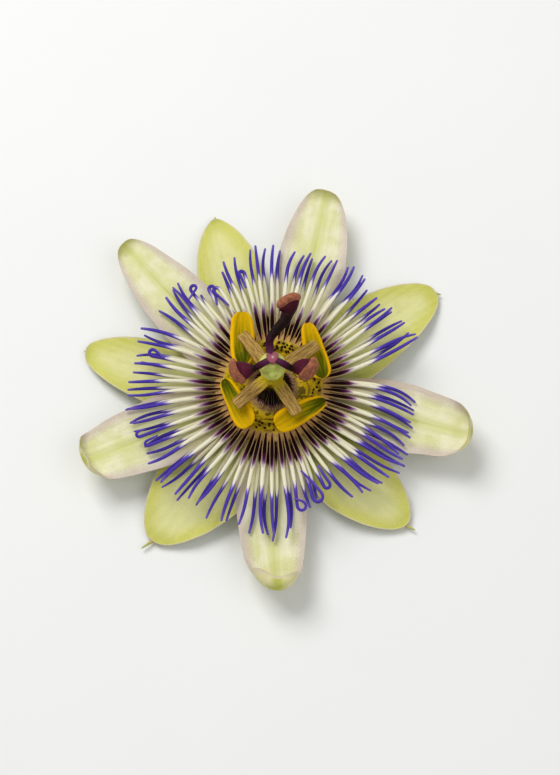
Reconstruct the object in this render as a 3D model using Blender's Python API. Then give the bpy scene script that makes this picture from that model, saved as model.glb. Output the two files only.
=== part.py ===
"""A passion flower of the blue kind (Passiflora caerulea), picked and laid face up.

It rests on the undersides of its five drooping sepals and on the flat cut of its short
stalk. Five petals spread level above the sepals. On the rim of the shallow green cup
stand two series of long corona filaments, a ring of short knobbed ones and the fringed
operculum. A column in the middle carries the stamens, and above them the ovary with
three styles.

Frame: +Z up, the origin on the surface under the middle of the flower's outline, +Y
towards the petal that stands nearest to it. Lengths below are in millimetres, angles
in degrees. Meshes are made in millimetres about the flower's axis and scaled to metres
at the end.
"""

import math
import random
from dataclasses import dataclass

import bmesh
import bpy
import numpy as np
from mathutils import Vector

METRES_PER_MM = 0.001
GAP = 0.3                        # between neighbouring pieces

# Cup and stalk
STALK_RADIUS = 2.2
CUP_RADIUS = 12.0
CUP_RIM_HEIGHT = 6.2
CUP_FLOOR_HEIGHT = 4.4
CUP_SIDES = 28

# Sepals and petals
BLADE_THICKNESS = 0.7
BLADE_BASE_RADIUS = CUP_RADIUS + GAP
SEPAL_BASE_HEIGHT = 4.9          # of the upper face
PETAL_BASE_HEIGHT = 6.1
SEPAL_TIP_HEIGHT = 0.9
PETAL_TIP_HEIGHT = 6.4
BLADE_CELLS_ALONG = 12
BLADE_CELLS_ACROSS = 6
HOOD_RADIUS = 1.9                # of the bend by which a tip curls up
AWN_RADIUS = 0.42

# Long corona filaments
FILAMENTS_PER_SERIES = 54
CORONA_RADIUS = 12.6             # where the filaments leave their ring
CORONA_RING_WIDTH = 1.9
CORONA_RING_HEIGHT = 0.9
FILAMENT_ROOT_RADIUS = 11.4
UPPER_SERIES_HEIGHT = 8.3
LOWER_SERIES_HEIGHT = 7.0
FILAMENT_STEPS = 120             # of a centre line
FILAMENT_SEGMENTS = 5            # of a solid
CURL_SEGMENTS = 8
FILAMENT_SIDES = 3
FILAMENT_SEED = 11

# Short corona and operculum
SHORT_FILAMENTS_PER_ROW = 30
SHORT_ROW_RADII = (9.3, 10.1)
SHORT_RING_WIDTH = 1.8
FRINGE_FILAMENTS = 28
FRINGE_PATH = ((4.3, 7.0), (3.2, 9.4), (1.95, 11.6))     # radius and height

# Column, stamens, ovary, styles
COLUMN_RADIUS = 1.35
COLUMN_TOP = 16.6
STAMEN_WIDTH = 2.9
STAMEN_THICKNESS = 1.0
ANTHER_WIDTH = 5.8
ANTHER_THICKNESS = 2.3
OVARY_RADIUS = 3.1
OVARY_BOTTOM = COLUMN_TOP + GAP
OVARY_TOP = 24.8
STYLE_SIDES = 8


@dataclass
class Blade:
    """A sepal or petal. Its plan outline is blunt where bluntness is high."""

    azimuth: float
    reach: float                 # radius of the outermost point
    width: float
    bluntness: float
    tip_length: float            # the stretch over which the outline narrows to the tip
    base_height: float
    tip_height: float
    base_radius: float = BLADE_BASE_RADIUS
    base_width: float = 12.0
    lean: float = 0.0            # how far the tip swings sideways, in degrees
    cup: float = 1.0             # how far the sides rise
    hood: float = 60.0           # the angle that the tip curls up by
    awn: float = 0.0             # length past the tip of the spike on its back
    awn_turn: float = 0.0        # in plan, from the blade's own direction, in degrees
    keel: float = 0.0
    droop_power: float = 1.5
    thickness: float = BLADE_THICKNESS


def sepal(azimuth, reach, width, lean, bluntness, tip_length, awn, awn_turn):
    return Blade(azimuth, reach, width, bluntness, tip_length, SEPAL_BASE_HEIGHT, SEPAL_TIP_HEIGHT,
                 lean=lean, cup=1.6, hood=45.0, awn=awn, awn_turn=awn_turn, keel=0.4, droop_power=1.5)


def petal(azimuth, reach, width, lean, bluntness, tip_length, hood):
    return Blade(azimuth, reach, width, bluntness, tip_length, PETAL_BASE_HEIGHT, PETAL_TIP_HEIGHT,
                 lean=lean, cup=0.7, hood=hood, droop_power=1.2)


SEPALS = (
    sepal(33.6, 47.2, 20.0, 1.5, 2.2, 30.0, 1.5, -50.0),
    sepal(110.0, 48.1, 15.7, -2.8, 1.52, 17.5, 0.8, -20.0),
    sepal(170.6, 45.4, 17.1, -5.4, 2.15, 23.8, 0.5, 0.0),
    sepal(235.1, 44.2, 22.1, -3.0, 1.86, 19.9, 3.1, -19.0),
    sepal(309.3, 43.4, 17.4, 4.9, 1.7, 14.8, 2.4, 20.0),
)
PETALS = (
    petal(72.8, 52.3, 16.3, 3.1, 2.65, 20.0, 55.0),
    petal(136.3, 51.2, 16.6, -2.5, 2.53, 30.0, 50.0),
    petal(201.6, 46.1, 17.5, 0.8, 3.5, 27.8, 105.0),
    petal(268.8, 47.6, 16.2, 2.3, 1.6, 20.0, 150.0),
    petal(347.7, 46.5, 17.0, -1.6, 2.97, 19.1, 80.0),
)

# The long filaments are combed aside in places, with partings where the shift jumps.
# Azimuth of the root, shift of the tip along the rim in degrees, radius of the tip.
COMBED = (
    (-11.0, -7.0, 33.8), (0.0, -11.0, 33.2), (7.4, -12.0, 33.2), (8.6, 9.0, 35.8),
    (14.0, 7.5, 35.6), (20.0, 4.0, 34.8), (29.0, 3.0, 34.9), (38.0, 0.0, 32.6),
    (45.0, 0.0, 32.8), (52.0, 0.0, 36.3), (62.0, 0.5, 35.4), (83.0, -0.5, 34.4),
    (98.0, -1.0, 36.2), (104.0, -0.5, 35.8), (110.0, 0.0, 32.8), (115.0, 0.0, 30.8),
    (121.0, 0.0, 27.5), (127.0, -1.0, 29.0), (131.0, -1.5, 34.8), (138.0, -3.8, 34.5),
    (146.4, -5.6, 33.4), (147.6, 3.5, 33.4),
    (154.5, 4.2, 33.6), (163.0, 4.8, 31.9), (171.0, 1.0, 32.2), (179.0, 0.5, 33.6),
    (187.0, 2.0, 33.9), (201.0, -0.8, 33.6), (212.0, -2.2, 32.4), (219.0, -1.0, 35.0),
    (233.0, -1.2, 34.6), (241.0, -3.2, 32.6), (247.6, -2.6, 35.4), (254.0, 0.0, 34.3),
    (260.0, 1.2, 35.6), (265.0, 3.4, 36.2), (270.0, 0.5, 36.5), (277.0, -2.4, 37.0),
    (285.0, -2.0, 30.5), (293.2, -1.0, 28.5), (294.4, 5.0, 32.4), (306.0, 5.0, 33.4),
    (314.0, 3.6, 34.4), (323.0, 1.5, 36.0), (331.0, -2.4, 34.8), (338.0, -4.4, 33.8),
    (349.0, -7.0, 33.8), (360.0, -11.0, 33.2),
)
# Filaments of the upper series whose outer part curls over: azimuth of the root, angle of
# the curl (positive is anticlockwise seen from above), radius from the flower's axis where
# it starts, radius of the bend and length of the straight end after it.
CURLS = (
    (103.3, 195.0, 28.6, 0.8, 3.5), (116.7, 200.0, 26.2, 1.15, 4.0), (123.3, -200.0, 27.6, 0.8, 4.0),
    (130.0, -245.0, 29.8, 0.95, 2.5), (163.3, -215.0, 28.4, 0.9, 2.5), (203.3, -175.0, 32.6, 0.7, 1.6),
    (210.0, -180.0, 31.6, 0.7, 2.6), (283.3, 240.0, 29.4, 1.3, 1.5), (290.0, 205.0, 28.4, 1.5, 6.5),
    (296.7, 195.0, 26.9, 0.9, 4.5),
)
CURL_RISE = 1.5                  # over a full turn, so that a loop clears itself

# Stamens: azimuth and reach of the filament, then its anther's middle in plan, direction
# and length, and how far the anther rolls to face the column.
STAMENS = (
    (36.1, 12.6, (9.6, 6.6), 104.4, 14.0, 8.0),
    (125.0, 12.2, (-6.9, 9.6), 92.0, 13.0, 0.0),
    (221.6, 11.2, (-8.1, -6.0), 117.0, 12.7, -22.0),
    (300.7, 11.0, (6.2, -8.3), 29.0, 12.8, 22.0),
)
# Styles: the points that each passes from the ovary's top to its stigma, with heights
# above the ovary's top, and the way its stigma faces.
STYLE_ROOT = (0.1, 0.0, 0.7)
STYLES = (
    (((-0.5, 1.7, 1.4), (-0.5, 4.2, 2.1), (1.2, 6.6, 2.3), (2.9, 8.1, 2.3), (3.9, 12.0, 3.2)),
     (0.1, 0.66, 0.75)),
    (((-1.9, -1.0, 0.7), (-4.1, -1.9, -0.4), (-6.2, -1.9, -1.5), (-7.6, -2.0, -1.7)),
     (-0.93, 0.25, 0.25)),
    (((2.2, -1.0, 0.7), (4.3, -1.8, -0.4), (6.4, -1.2, -1.4), (7.9, -1.5, -1.5)),
     (0.75, -0.35, 0.55)),
)
STIGMA_LENGTH = 6.2
STIGMA_WIDTH = 3.8
STIGMA_THICKNESS = 2.5

MATERIALS = {                    # colour, roughness
    "sepal_green": ((0.62, 0.68, 0.24), 0.55),
    "petal_cream": ((0.80, 0.78, 0.50), 0.55),
    "cup_green": ((0.45, 0.52, 0.20), 0.50),
    "corona_violet": ((0.26, 0.18, 0.55), 0.45),
    "corona_cream": ((0.78, 0.74, 0.58), 0.45),
    "annulus_yellow": ((0.35, 0.28, 0.08), 0.45),
    "operculum_purple": ((0.12, 0.03, 0.06), 0.45),
    "column_olive": ((0.47, 0.40, 0.13), 0.55),
    "anther_yellow": ((0.78, 0.60, 0.03), 0.65),
    "ovary_green": ((0.50, 0.58, 0.25), 0.35),
    "style_purple": ((0.15, 0.03, 0.06), 0.35),
}


def smooth(x):
    x = np.clip(x, 0.0, 1.0)
    return x * x * (3.0 - 2.0 * x)


# --- making objects -------------------------------------------------------------------

def material(name):
    found = bpy.data.materials.get(name)
    if found:
        return found
    colour, roughness = MATERIALS[name]
    made = bpy.data.materials.new(name)
    made.use_nodes = True
    shader = made.node_tree.nodes["Principled BSDF"]
    shader.inputs["Base Color"].default_value = (*colour, 1.0)
    shader.inputs["Roughness"].default_value = roughness
    shader.inputs["Metallic"].default_value = 0.0
    return made


def object_of(name, mesh, material_name, parent):
    made = bpy.data.objects.new(name, mesh)
    mesh.materials.clear()
    mesh.materials.append(material(material_name))
    bpy.context.scene.collection.objects.link(made)
    made.parent = parent
    return made


def mesh_of(bm):
    """The bmesh as a mesh of triangles that face out."""
    bmesh.ops.recalc_face_normals(bm, faces=bm.faces)
    bmesh.ops.triangulate(bm, faces=bm.faces)
    mesh = bpy.data.meshes.new("mesh")
    bm.to_mesh(mesh)
    bm.free()
    return mesh


def loft(rings):
    """A closed solid through rings of points, each ring with the same number of them."""
    bm = bmesh.new()
    made = [[bm.verts.new(point) for point in ring] for ring in rings]
    for ring, following in zip(made, made[1:]):
        count = len(ring)
        for i in range(count):
            j = (i + 1) % count
            bm.faces.new((ring[i], ring[j], following[j], following[i]))
    bm.faces.new(made[0])
    bm.faces.new(made[-1])
    return mesh_of(bm)


def lathe(profile, sides, ring=False):
    """A solid turned about Z from points of radius and height. A ring's profile closes."""
    bm = bmesh.new()
    points = [bm.verts.new((radius, 0.0, height)) for radius, height in profile]
    following = points[1:] + points[:1] if ring else points[1:]
    edges = [bm.edges.new(pair) for pair in zip(points, following)]
    bmesh.ops.spin(bm, geom=points + edges, cent=(0, 0, 0), axis=(0, 0, 1),
                   angle=math.tau, steps=sides)
    bmesh.ops.remove_doubles(bm, verts=bm.verts, dist=0.001)
    return mesh_of(bm)


def frames_along(points):
    """At each point of a path: its direction, a sideways vector and the third one."""
    points = np.asarray(points, float)
    along = np.gradient(points, axis=0)
    along /= np.linalg.norm(along, axis=1)[:, None]
    side = np.cross(along[0], (0.0, 0.0, 1.0))
    sides = []
    for direction in along:
        side = side - direction * (side @ direction)
        side = side / np.linalg.norm(side)
        sides.append(side)
    sides = np.array(sides)
    return along, sides, np.cross(sides, along)


def tube(points, widths, heights, sides, turned=0.0):
    """A tube along points, oval where its widths and heights differ."""
    _, across, up = frames_along(points)
    rings = []
    for point, a, b, width, height in zip(np.asarray(points, float), across, up, widths, heights):
        angles = [math.tau * (k + turned) / sides for k in range(sides)]
        rings.append([point + a * math.cos(t) * width / 2 + b * math.sin(t) * height / 2
                      for t in angles])
    return loft(rings)


def joined(body, repeats, solver="EXACT"):
    """The body's mesh with the repeats fused to it by one Boolean union."""
    base = bpy.data.objects.new("base", body)
    bpy.context.scene.collection.objects.link(base)
    group = bpy.data.collections.new("repeats")
    bpy.context.scene.collection.children.link(group)
    for mesh in repeats:
        group.objects.link(bpy.data.objects.new("repeat", mesh))
    union = base.modifiers.new("union", "BOOLEAN")
    union.operation = "UNION"
    union.operand_type = "COLLECTION"
    union.collection = group
    union.solver = solver
    fused = bpy.data.meshes.new_from_object(
        base.evaluated_get(bpy.context.evaluated_depsgraph_get()))
    for leftover in [base, *group.objects]:
        bpy.data.objects.remove(leftover)
    bpy.data.collections.remove(group)
    return fused


def smooth_curve(points, count):
    """Evenly spread points on a smooth curve (Catmull-Rom) through the given ones."""
    given = [Vector(p) for p in points]
    given = [given[0] * 2 - given[1], *given, given[-1] * 2 - given[-2]]
    fine = []
    steps = 12
    for a, b, c, d in zip(given, given[1:], given[2:], given[3:]):
        for k in range(steps):
            t = k / steps
            fine.append(0.5 * (2 * b + (c - a) * t + (2 * a - 5 * b + 4 * c - d) * t ** 2
                               + (3 * b - a - 3 * c + d) * t ** 3))
    fine.append(given[-2])
    fine = np.array(fine, float)
    length = np.concatenate([[0.0], np.cumsum(np.linalg.norm(np.diff(fine, axis=0), axis=1))])
    wanted = np.linspace(0.0, length[-1], count)
    return np.column_stack([np.interp(wanted, length, fine[:, k]) for k in range(3)])


# --- blades: sepals and petals ----------------------------------------------------------

def tip_hood(blade):
    """The hood's angle in radians, and where the tip would reach if it were laid flat."""
    hood = math.radians(blade.hood)
    return hood, blade.reach + HOOD_RADIUS * (hood - math.sin(min(hood, math.pi / 2)))


def blade_half_width(blade, radius, flat_tip):
    """Half the blade's width at a distance from the axis, laid flat."""
    towards_base = np.clip((flat_tip - radius) / blade.tip_length, 0.0, 1.0)
    tip = (1.0 - (1.0 - towards_base) ** 1.6) ** (1.0 / blade.bluntness)
    widest = flat_tip - blade.tip_length
    widening = smooth((radius - blade.base_radius) / (widest - blade.base_radius))
    return tip * (blade.base_width + (blade.width - blade.base_width) * widening) / 2


def blade_surface(blade, cells_along, cells_across):
    """The upper face as a grid of points. X runs out from the flower's axis, Y across."""
    hood, flat_tip = tip_hood(blade)
    fold_start = flat_tip - HOOD_RADIUS * hood - 1.5
    tip_cells = cells_along // 2
    body = np.linspace(blade.base_radius, fold_start, cells_along - tip_cells + 1)[:-1]
    spread = np.linspace(0.0, 1.0, tip_cells + 1) ** 0.85
    radius = np.concatenate([body, fold_start + (flat_tip - 0.02 - fold_start) * spread])[:, None]
    across = np.linspace(-1.0, 1.0, cells_across + 1)[None, :]
    sideways = blade_half_width(blade, radius, flat_tip) * across

    out = (radius - blade.base_radius) / (blade.reach - blade.base_radius)
    drop = blade.base_height - blade.tip_height
    height = blade.base_height - drop * np.clip(out, 0, 1.1) ** blade.droop_power
    raised = (sideways / (blade.width / 2)) ** 2
    height = height + blade.cup * raised * smooth((out - 0.35) / 0.5)

    fold = blade.reach - HOOD_RADIUS * math.sin(min(hood, math.pi / 2)) - 3.2 * raised
    turn = np.clip((radius - fold) / HOOD_RADIUS, 0.0, hood)
    past = np.maximum(radius - fold - HOOD_RADIUS * hood, 0.0)
    folded = radius > fold
    x = np.where(folded, fold + HOOD_RADIUS * np.sin(turn) + past * math.cos(hood), radius)
    lift = HOOD_RADIUS * (1 - np.cos(turn)) + past * math.sin(hood)
    height = height + np.where(folded, lift, 0.0)

    swing = blade.reach * math.sin(math.radians(blade.lean)) * np.clip(out, 0, 1.05) ** 2
    near = np.minimum(np.abs(sideways), 0.65 * blade.base_radius)
    round_base = np.sqrt(blade.base_radius ** 2 - near ** 2) - blade.base_radius
    x = x + round_base * (1.0 - smooth(out / 0.3))
    return np.stack([x, sideways + swing, height], axis=-1)


def grid_normals(grid):
    along = np.gradient(grid, axis=0)
    across = np.gradient(grid, axis=1)
    normals = np.cross(along, across)
    return normals / np.linalg.norm(normals, axis=-1)[..., None]


def blade_mesh(blade):
    """The blade as a solid. Both faces are split into the same triangles."""
    upper = blade_surface(blade, BLADE_CELLS_ALONG, BLADE_CELLS_ACROSS)
    rows, columns = upper.shape[:2]
    across = np.linspace(-1.0, 1.0, columns)[None, :, None]
    depth = blade.thickness + blade.keel * np.clip(1.0 - 3.0 * np.abs(across), 0.0, 1.0)
    lower = upper - grid_normals(upper) * depth
    bm = bmesh.new()
    top = [[bm.verts.new(p) for p in row] for row in upper]
    under = [[bm.verts.new(p) for p in row] for row in lower]
    for i in range(rows - 1):
        for j in range(columns - 1):
            for face in (top, under):
                a, b, c, d = face[i][j], face[i + 1][j], face[i + 1][j + 1], face[i][j + 1]
                bm.faces.new((a, b, c))
                bm.faces.new((a, c, d))
    rim = [(i, 0) for i in range(rows)]
    rim += [(rows - 1, j) for j in range(1, columns)]
    rim += [(i, columns - 1) for i in range(rows - 2, -1, -1)]
    rim += [(0, j) for j in range(columns - 2, 0, -1)]
    for (i, j), (k, m) in zip(rim, rim[1:] + rim[:1]):
        bm.faces.new((top[i][j], top[k][m], under[k][m], under[i][j]))
    body = mesh_of(bm)
    if blade.awn <= 0:
        return body
    return joined(body, [awn_mesh(blade)])


def awn_mesh(blade):
    """The spike on the back of a sepal, just short of its tip."""
    swing = blade.reach * math.sin(math.radians(blade.lean))
    height = blade.tip_height - blade.thickness + AWN_RADIUS
    turn = math.radians(blade.awn_turn)
    knee = blade.reach - 0.6
    length = blade.awn + blade.reach - knee
    points = [(knee - 1.6, swing, height + 0.1), (knee, swing, height + 0.2),
              (knee + length * math.cos(turn), swing + length * math.sin(turn), height + 0.35)]
    sizes = (2 * AWN_RADIUS, 1.7 * AWN_RADIUS, 0.25)
    return tube(points, sizes, sizes, 4)


def add_blades(kind, blades, material_name, axis):
    for number, blade in enumerate(blades, 1):
        made = object_of(f"{kind}_{number}", blade_mesh(blade), material_name, axis)
        made.rotation_euler.z = math.radians(blade.azimuth)


# --- cup, corona and operculum ----------------------------------------------------------

def cup_mesh():
    """The cut stalk, the saucer that it widens to, and the saucer's shallow inside."""
    outside = [(0.0, 0.0), (STALK_RADIUS, 0.0), (STALK_RADIUS + 0.1, 0.7), (5.0, 1.7), (8.6, 2.9),
               (CUP_RADIUS - 0.5, 4.2), (CUP_RADIUS, 5.0), (CUP_RADIUS, CUP_RIM_HEIGHT)]
    inside = [(CUP_RADIUS - 1.0, CUP_RIM_HEIGHT), (CUP_RADIUS - 2.0, 5.2), (8.0, CUP_FLOOR_HEIGHT),
              (0.0, CUP_FLOOR_HEIGHT)]
    return lathe(outside + inside, CUP_SIDES)


def filament_paths(series):
    """The centre lines of one series of long filaments, root to tip, and their rings' places."""
    upper = series == "upper"
    draw = random.Random(FILAMENT_SEED + upper)
    pitch = 360.0 / FILAMENTS_PER_SERIES
    combed_at, combed_by, combed_to = zip(*COMBED)
    share = np.linspace(0.0, 1.0, FILAMENT_STEPS + 1)
    for number in range(FILAMENTS_PER_SERIES):
        azimuth = (number + (0.5 if upper else 0.0)) * pitch
        wave = draw.uniform(-0.9, 0.9)
        lift = draw.uniform(0.0, 0.9) if upper else draw.uniform(-0.25, 0.1)
        shift = float(np.interp(azimuth, combed_at, combed_by)) + draw.uniform(-1.2, 1.2)
        reach = float(np.interp(azimuth, combed_at, combed_to)) + draw.uniform(-0.8, 0.5)
        turn, bend_from, bend_to = draw.uniform(-28.0, 28.0), 0.7, 1.0
        start = azimuth + draw.uniform(-0.7, 0.7)
        curl = [curl for at, *curl in CURLS if upper and abs(at - azimuth) < pitch / 2]
        if curl:
            turn, bend_start, bend_radius, straight_end = curl[0]
            bend_end = bend_start + math.radians(abs(turn)) * bend_radius
            reach = bend_end + straight_end
            length = reach - FILAMENT_ROOT_RADIUS
            bend_from = (bend_start - FILAMENT_ROOT_RADIUS) / length
            bend_to = (bend_end - FILAMENT_ROOT_RADIUS) / length
        angle = np.radians(start + shift * share ** 1.4 + wave * np.sin(math.tau * share) * share)
        radius = FILAMENT_ROOT_RADIUS + (reach - FILAMENT_ROOT_RADIUS) * share
        flat = np.column_stack([radius * np.cos(angle), radius * np.sin(angle)])
        turned = np.radians(turn) * smooth((share - bend_from) / (bend_to - bend_from))
        flat = bent(flat, turned)
        base = UPPER_SERIES_HEIGHT if upper else LOWER_SERIES_HEIGHT
        z = base + (0.9 + lift) * smooth(share / 0.6) - 0.5 * share ** 3
        if curl:
            z = z + CURL_RISE * np.abs(turned) / math.tau
            straight = np.linspace(0.0, bend_from, FILAMENT_SEGMENTS - 1)[:-1]
            rings = [*straight, *np.linspace(bend_from, bend_to, CURL_SEGMENTS + 1), 1.0]
        else:
            rings = np.linspace(0.0, 1.0, FILAMENT_SEGMENTS + 1)
        yield np.column_stack([flat, z]), np.array(rings)


def bent(path, turned):
    """The path with its steps turned by these angles in plan, keeping its length."""
    steps = np.diff(path, axis=0)
    cosine, sine = np.cos(turned[1:]), np.sin(turned[1:])
    rotated = np.column_stack([steps[:, 0] * cosine - steps[:, 1] * sine,
                               steps[:, 0] * sine + steps[:, 1] * cosine])
    return np.concatenate([path[:1], path[0] + np.cumsum(rotated, axis=0)])


def filament_width(share):
    """The filament's thickness from root to tip: stout, then finer in its violet part."""
    return np.interp(share, (0.0, 0.12, 0.5, 0.7, 1.0), (0.85, 1.0, 0.95, 0.8, 0.6))


def series_mesh(series):
    """A ring on the cup's rim with the filaments of one series."""
    height = UPPER_SERIES_HEIGHT if series == "upper" else LOWER_SERIES_HEIGHT
    low, high = height - CORONA_RING_HEIGHT / 2, height + CORONA_RING_HEIGHT / 2
    inner, rim = CORONA_RADIUS - CORONA_RING_WIDTH, CORONA_RADIUS - 0.3
    profile = [(inner, low), (rim, low), (CORONA_RADIUS, height), (rim, high), (inner, high)]
    repeats = []
    for path, rings in filament_paths(series):
        pick = np.round(rings * FILAMENT_STEPS).astype(int)
        widths = filament_width(pick / FILAMENT_STEPS)
        repeats.append(tube(path[pick], widths, widths, FILAMENT_SIDES, turned=0.25))
    return joined(lathe(profile, FILAMENTS_PER_SERIES, ring=True), repeats, solver="MANIFOLD")


def short_corona_mesh():
    """The ring inside the long filaments, with two rows of short knobbed ones."""
    foot, top = CUP_RIM_HEIGHT + GAP, CUP_RIM_HEIGHT + 2.3
    outer = CORONA_RADIUS - CORONA_RING_WIDTH - GAP
    inner = outer - SHORT_RING_WIDTH
    profile = [(inner + 0.3, foot), (outer, foot), (outer, top), (inner + 0.6, top - 0.1),
               (inner, top - 0.9)]
    repeats = []
    for row, radius in enumerate(SHORT_ROW_RADII):
        for number in range(SHORT_FILAMENTS_PER_ROW):
            angle = math.tau * (number + row / 2) / SHORT_FILAMENTS_PER_ROW
            outward = np.array([math.cos(angle), math.sin(angle), 0.0])
            points = [outward * (radius + lean) + (0, 0, top + height)
                      for lean, height in ((0.0, -0.5), (0.1, 0.7), (0.3, 1.2))]
            repeats.append(tube(points, (0.35, 0.4, 0.6), (0.35, 0.4, 0.6), 4))
    return joined(lathe(profile, CUP_SIDES * 2, ring=True), repeats)


def operculum_mesh():
    """The membrane that roofs the cup, and its fringe leaning on the column."""
    foot = CUP_FLOOR_HEIGHT + GAP
    roof = [(8.2, foot + 2.9), (7.4, foot + 2.3), (5.8, foot + 2.2), (4.6, foot + 2.6)]
    underside = [(3.9, foot + 2.4), (4.4, foot + 1.5), (6.8, foot + 1.4)]
    wall = [(7.2, foot), (7.9, foot), (8.4, foot + 2.5)]
    repeats = []
    for number in range(FRINGE_FILAMENTS):
        angle = math.tau * number / FRINGE_FILAMENTS
        outward = np.array([math.cos(angle), math.sin(angle), 0.0])
        points = [outward * radius + (0, 0, height) for radius, height in FRINGE_PATH]
        repeats.append(tube(points, (0.7, 0.5, 0.3), (0.7, 0.5, 0.4), 3, turned=0.25))
    return joined(lathe(roof + underside + wall, CUP_SIDES * 2, ring=True), repeats)


# --- column, stamens, ovary and styles --------------------------------------------------

def stamen_path(azimuth, reach):
    """From inside the column's head out and slightly down to where the anther hangs."""
    outward = Vector((math.cos(math.radians(azimuth)), math.sin(math.radians(azimuth)), 0))
    spots = ((0.4, -0.9), (2.6, -0.6), (6.0, -0.4), (reach, -0.8))
    return smooth_curve([outward * r + Vector((0, 0, COLUMN_TOP + z)) for r, z in spots], 6)


def column_mesh():
    """The column, its flared head and the filaments of the stamens, all one piece."""
    foot = CUP_FLOOR_HEIGHT + GAP
    shaft = [(0.0, foot), (1.9, foot), (COLUMN_RADIUS, foot + 1.2), (COLUMN_RADIUS, COLUMN_TOP - 3.4)]
    head = [(1.8, COLUMN_TOP - 2.0), (2.5, COLUMN_TOP - 1.0), (2.3, COLUMN_TOP), (0.0, COLUMN_TOP)]
    widths = STAMEN_WIDTH * np.array((0.75, 1.0, 1.1, 1.07, 1.0, 0.9))
    heights = STAMEN_THICKNESS * np.array((1.2, 1.2, 1.0, 1.0, 1.0, 0.8))
    straps = [tube(stamen_path(azimuth, reach), widths, heights, 8, turned=0.5)
              for azimuth, reach, *_ in STAMENS]
    return joined(lathe(shaft + head, 16), straps)


def anther_mesh(length):
    """A long boat-shaped pollen sac along X, with a groove down its upper face."""
    rings = []
    for station in np.linspace(-1.0, 1.0, 9):
        full = 0.35 + 0.65 * (1.0 - abs(station) ** 4.0) ** 0.5
        ring = []
        for k in range(12):
            angle = math.tau * (k + 0.5) / 12
            across = math.cos(angle) * ANTHER_WIDTH / 2 * full
            up = math.sin(angle) * ANTHER_THICKNESS / 2 * full
            if up > 0:
                up -= 0.75 * full * math.exp(-(across / (0.22 * ANTHER_WIDTH)) ** 2)
            ring.append((station * length / 2, across, up + 0.8 * station ** 2 * 0.6))
        rings.append(ring)
    return loft(rings)


def add_anthers(axis):
    for number, (azimuth, reach, middle, direction, length, roll) in enumerate(STAMENS, 1):
        made = object_of(f"anther_{number}", anther_mesh(length), "anther_yellow", axis)
        strap_underside = stamen_path(azimuth, reach)[-1][2] - STAMEN_THICKNESS / 2
        sunk = abs(math.sin(math.radians(roll))) * STAMEN_WIDTH / 2
        made.location = (*middle, strap_underside - GAP - sunk - ANTHER_THICKNESS / 2)
        made.rotation_euler = (math.radians(roll), 0.0, math.radians(direction))


def ovary_mesh():
    """An egg with three faint lobes."""
    rings = []
    for level in np.linspace(0.0, 1.0, 9):
        height = OVARY_BOTTOM + (OVARY_TOP - OVARY_BOTTOM) * level
        full = math.sin(math.pi * (0.09 + 0.84 * level)) ** 0.62
        ring = []
        for k in range(18):
            angle = math.tau * k / 18
            radius = OVARY_RADIUS * full * (1.0 + 0.03 * math.cos(3 * angle - math.pi / 2))
            ring.append((radius * math.cos(angle), radius * math.sin(angle), height))
        rings.append(ring)
    return loft(rings)


def style_path(points):
    path = smooth_curve([STYLE_ROOT, *points], 9)
    path[:, 2] += OVARY_TOP
    return path


def stigma_mesh(centre, facing):
    """A thick bean-shaped cap, hollowed a little on the side of its style."""
    facing = Vector(facing).normalized()
    turn = facing.to_track_quat("Z", "Y")
    rings = []
    for station in np.linspace(-1.0, 1.0, 9):
        full = 0.25 + 0.75 * (1.0 - abs(station) ** 2.4) ** 0.5
        sag = -1.0 * station ** 2
        ring = []
        for k in range(10):
            angle = math.tau * k / 10
            local = Vector((station * STIGMA_LENGTH / 2, math.cos(angle) * STIGMA_WIDTH / 2 * full,
                            math.sin(angle) * STIGMA_THICKNESS / 2 * full + sag))
            ring.append(Vector(centre) + turn @ local)
        rings.append(ring)
    return loft(rings)


def styles_mesh():
    """The star on the ovary's top, the three styles that part from it and their stigmas."""
    hub = lathe([(0.0, OVARY_TOP + GAP), (1.3, OVARY_TOP + GAP), (1.35, OVARY_TOP + 0.8),
                 (0.9, OVARY_TOP + 1.3), (0.0, OVARY_TOP + 1.35)], 12)
    widths = (1.2, 1.3, 1.35, 1.4, 1.5, 1.8, 2.3, 2.8, 3.3)
    repeats = []
    for points, facing in STYLES:
        path = style_path(points)
        repeats.append(tube(path, widths, widths, STYLE_SIDES))
        repeats.append(stigma_mesh(path[-1] + 0.9 * np.array(Vector(facing).normalized()), facing))
    return joined(hub, repeats)


# --- the flower ---------------------------------------------------------------------------

def world_box(objects):
    """The lowest and highest corner of all objects."""
    corners = []
    for piece in objects:
        corners += [piece.matrix_world @ vertex.co for vertex in piece.data.vertices]
    corners = np.array(corners)
    return corners.min(axis=0), corners.max(axis=0)


def centre_on_origin(axis):
    """Puts the middle of the flower's outline over the origin and its lowest point at 0."""
    bpy.context.view_layer.update()
    low, high = world_box(axis.children)
    axis.location = (-(low[0] + high[0]) / 2, -(low[1] + high[1]) / 2, -low[2])


def to_metres(axis):
    """Scales every mesh and place to metres, and shades the meshes smooth."""
    axis.location *= METRES_PER_MM
    for piece in axis.children:
        piece.location *= METRES_PER_MM
        for vertex in piece.data.vertices:
            vertex.co *= METRES_PER_MM
        piece.data.shade_smooth()
        piece.data.set_sharp_from_angle(angle=math.radians(50))


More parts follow.
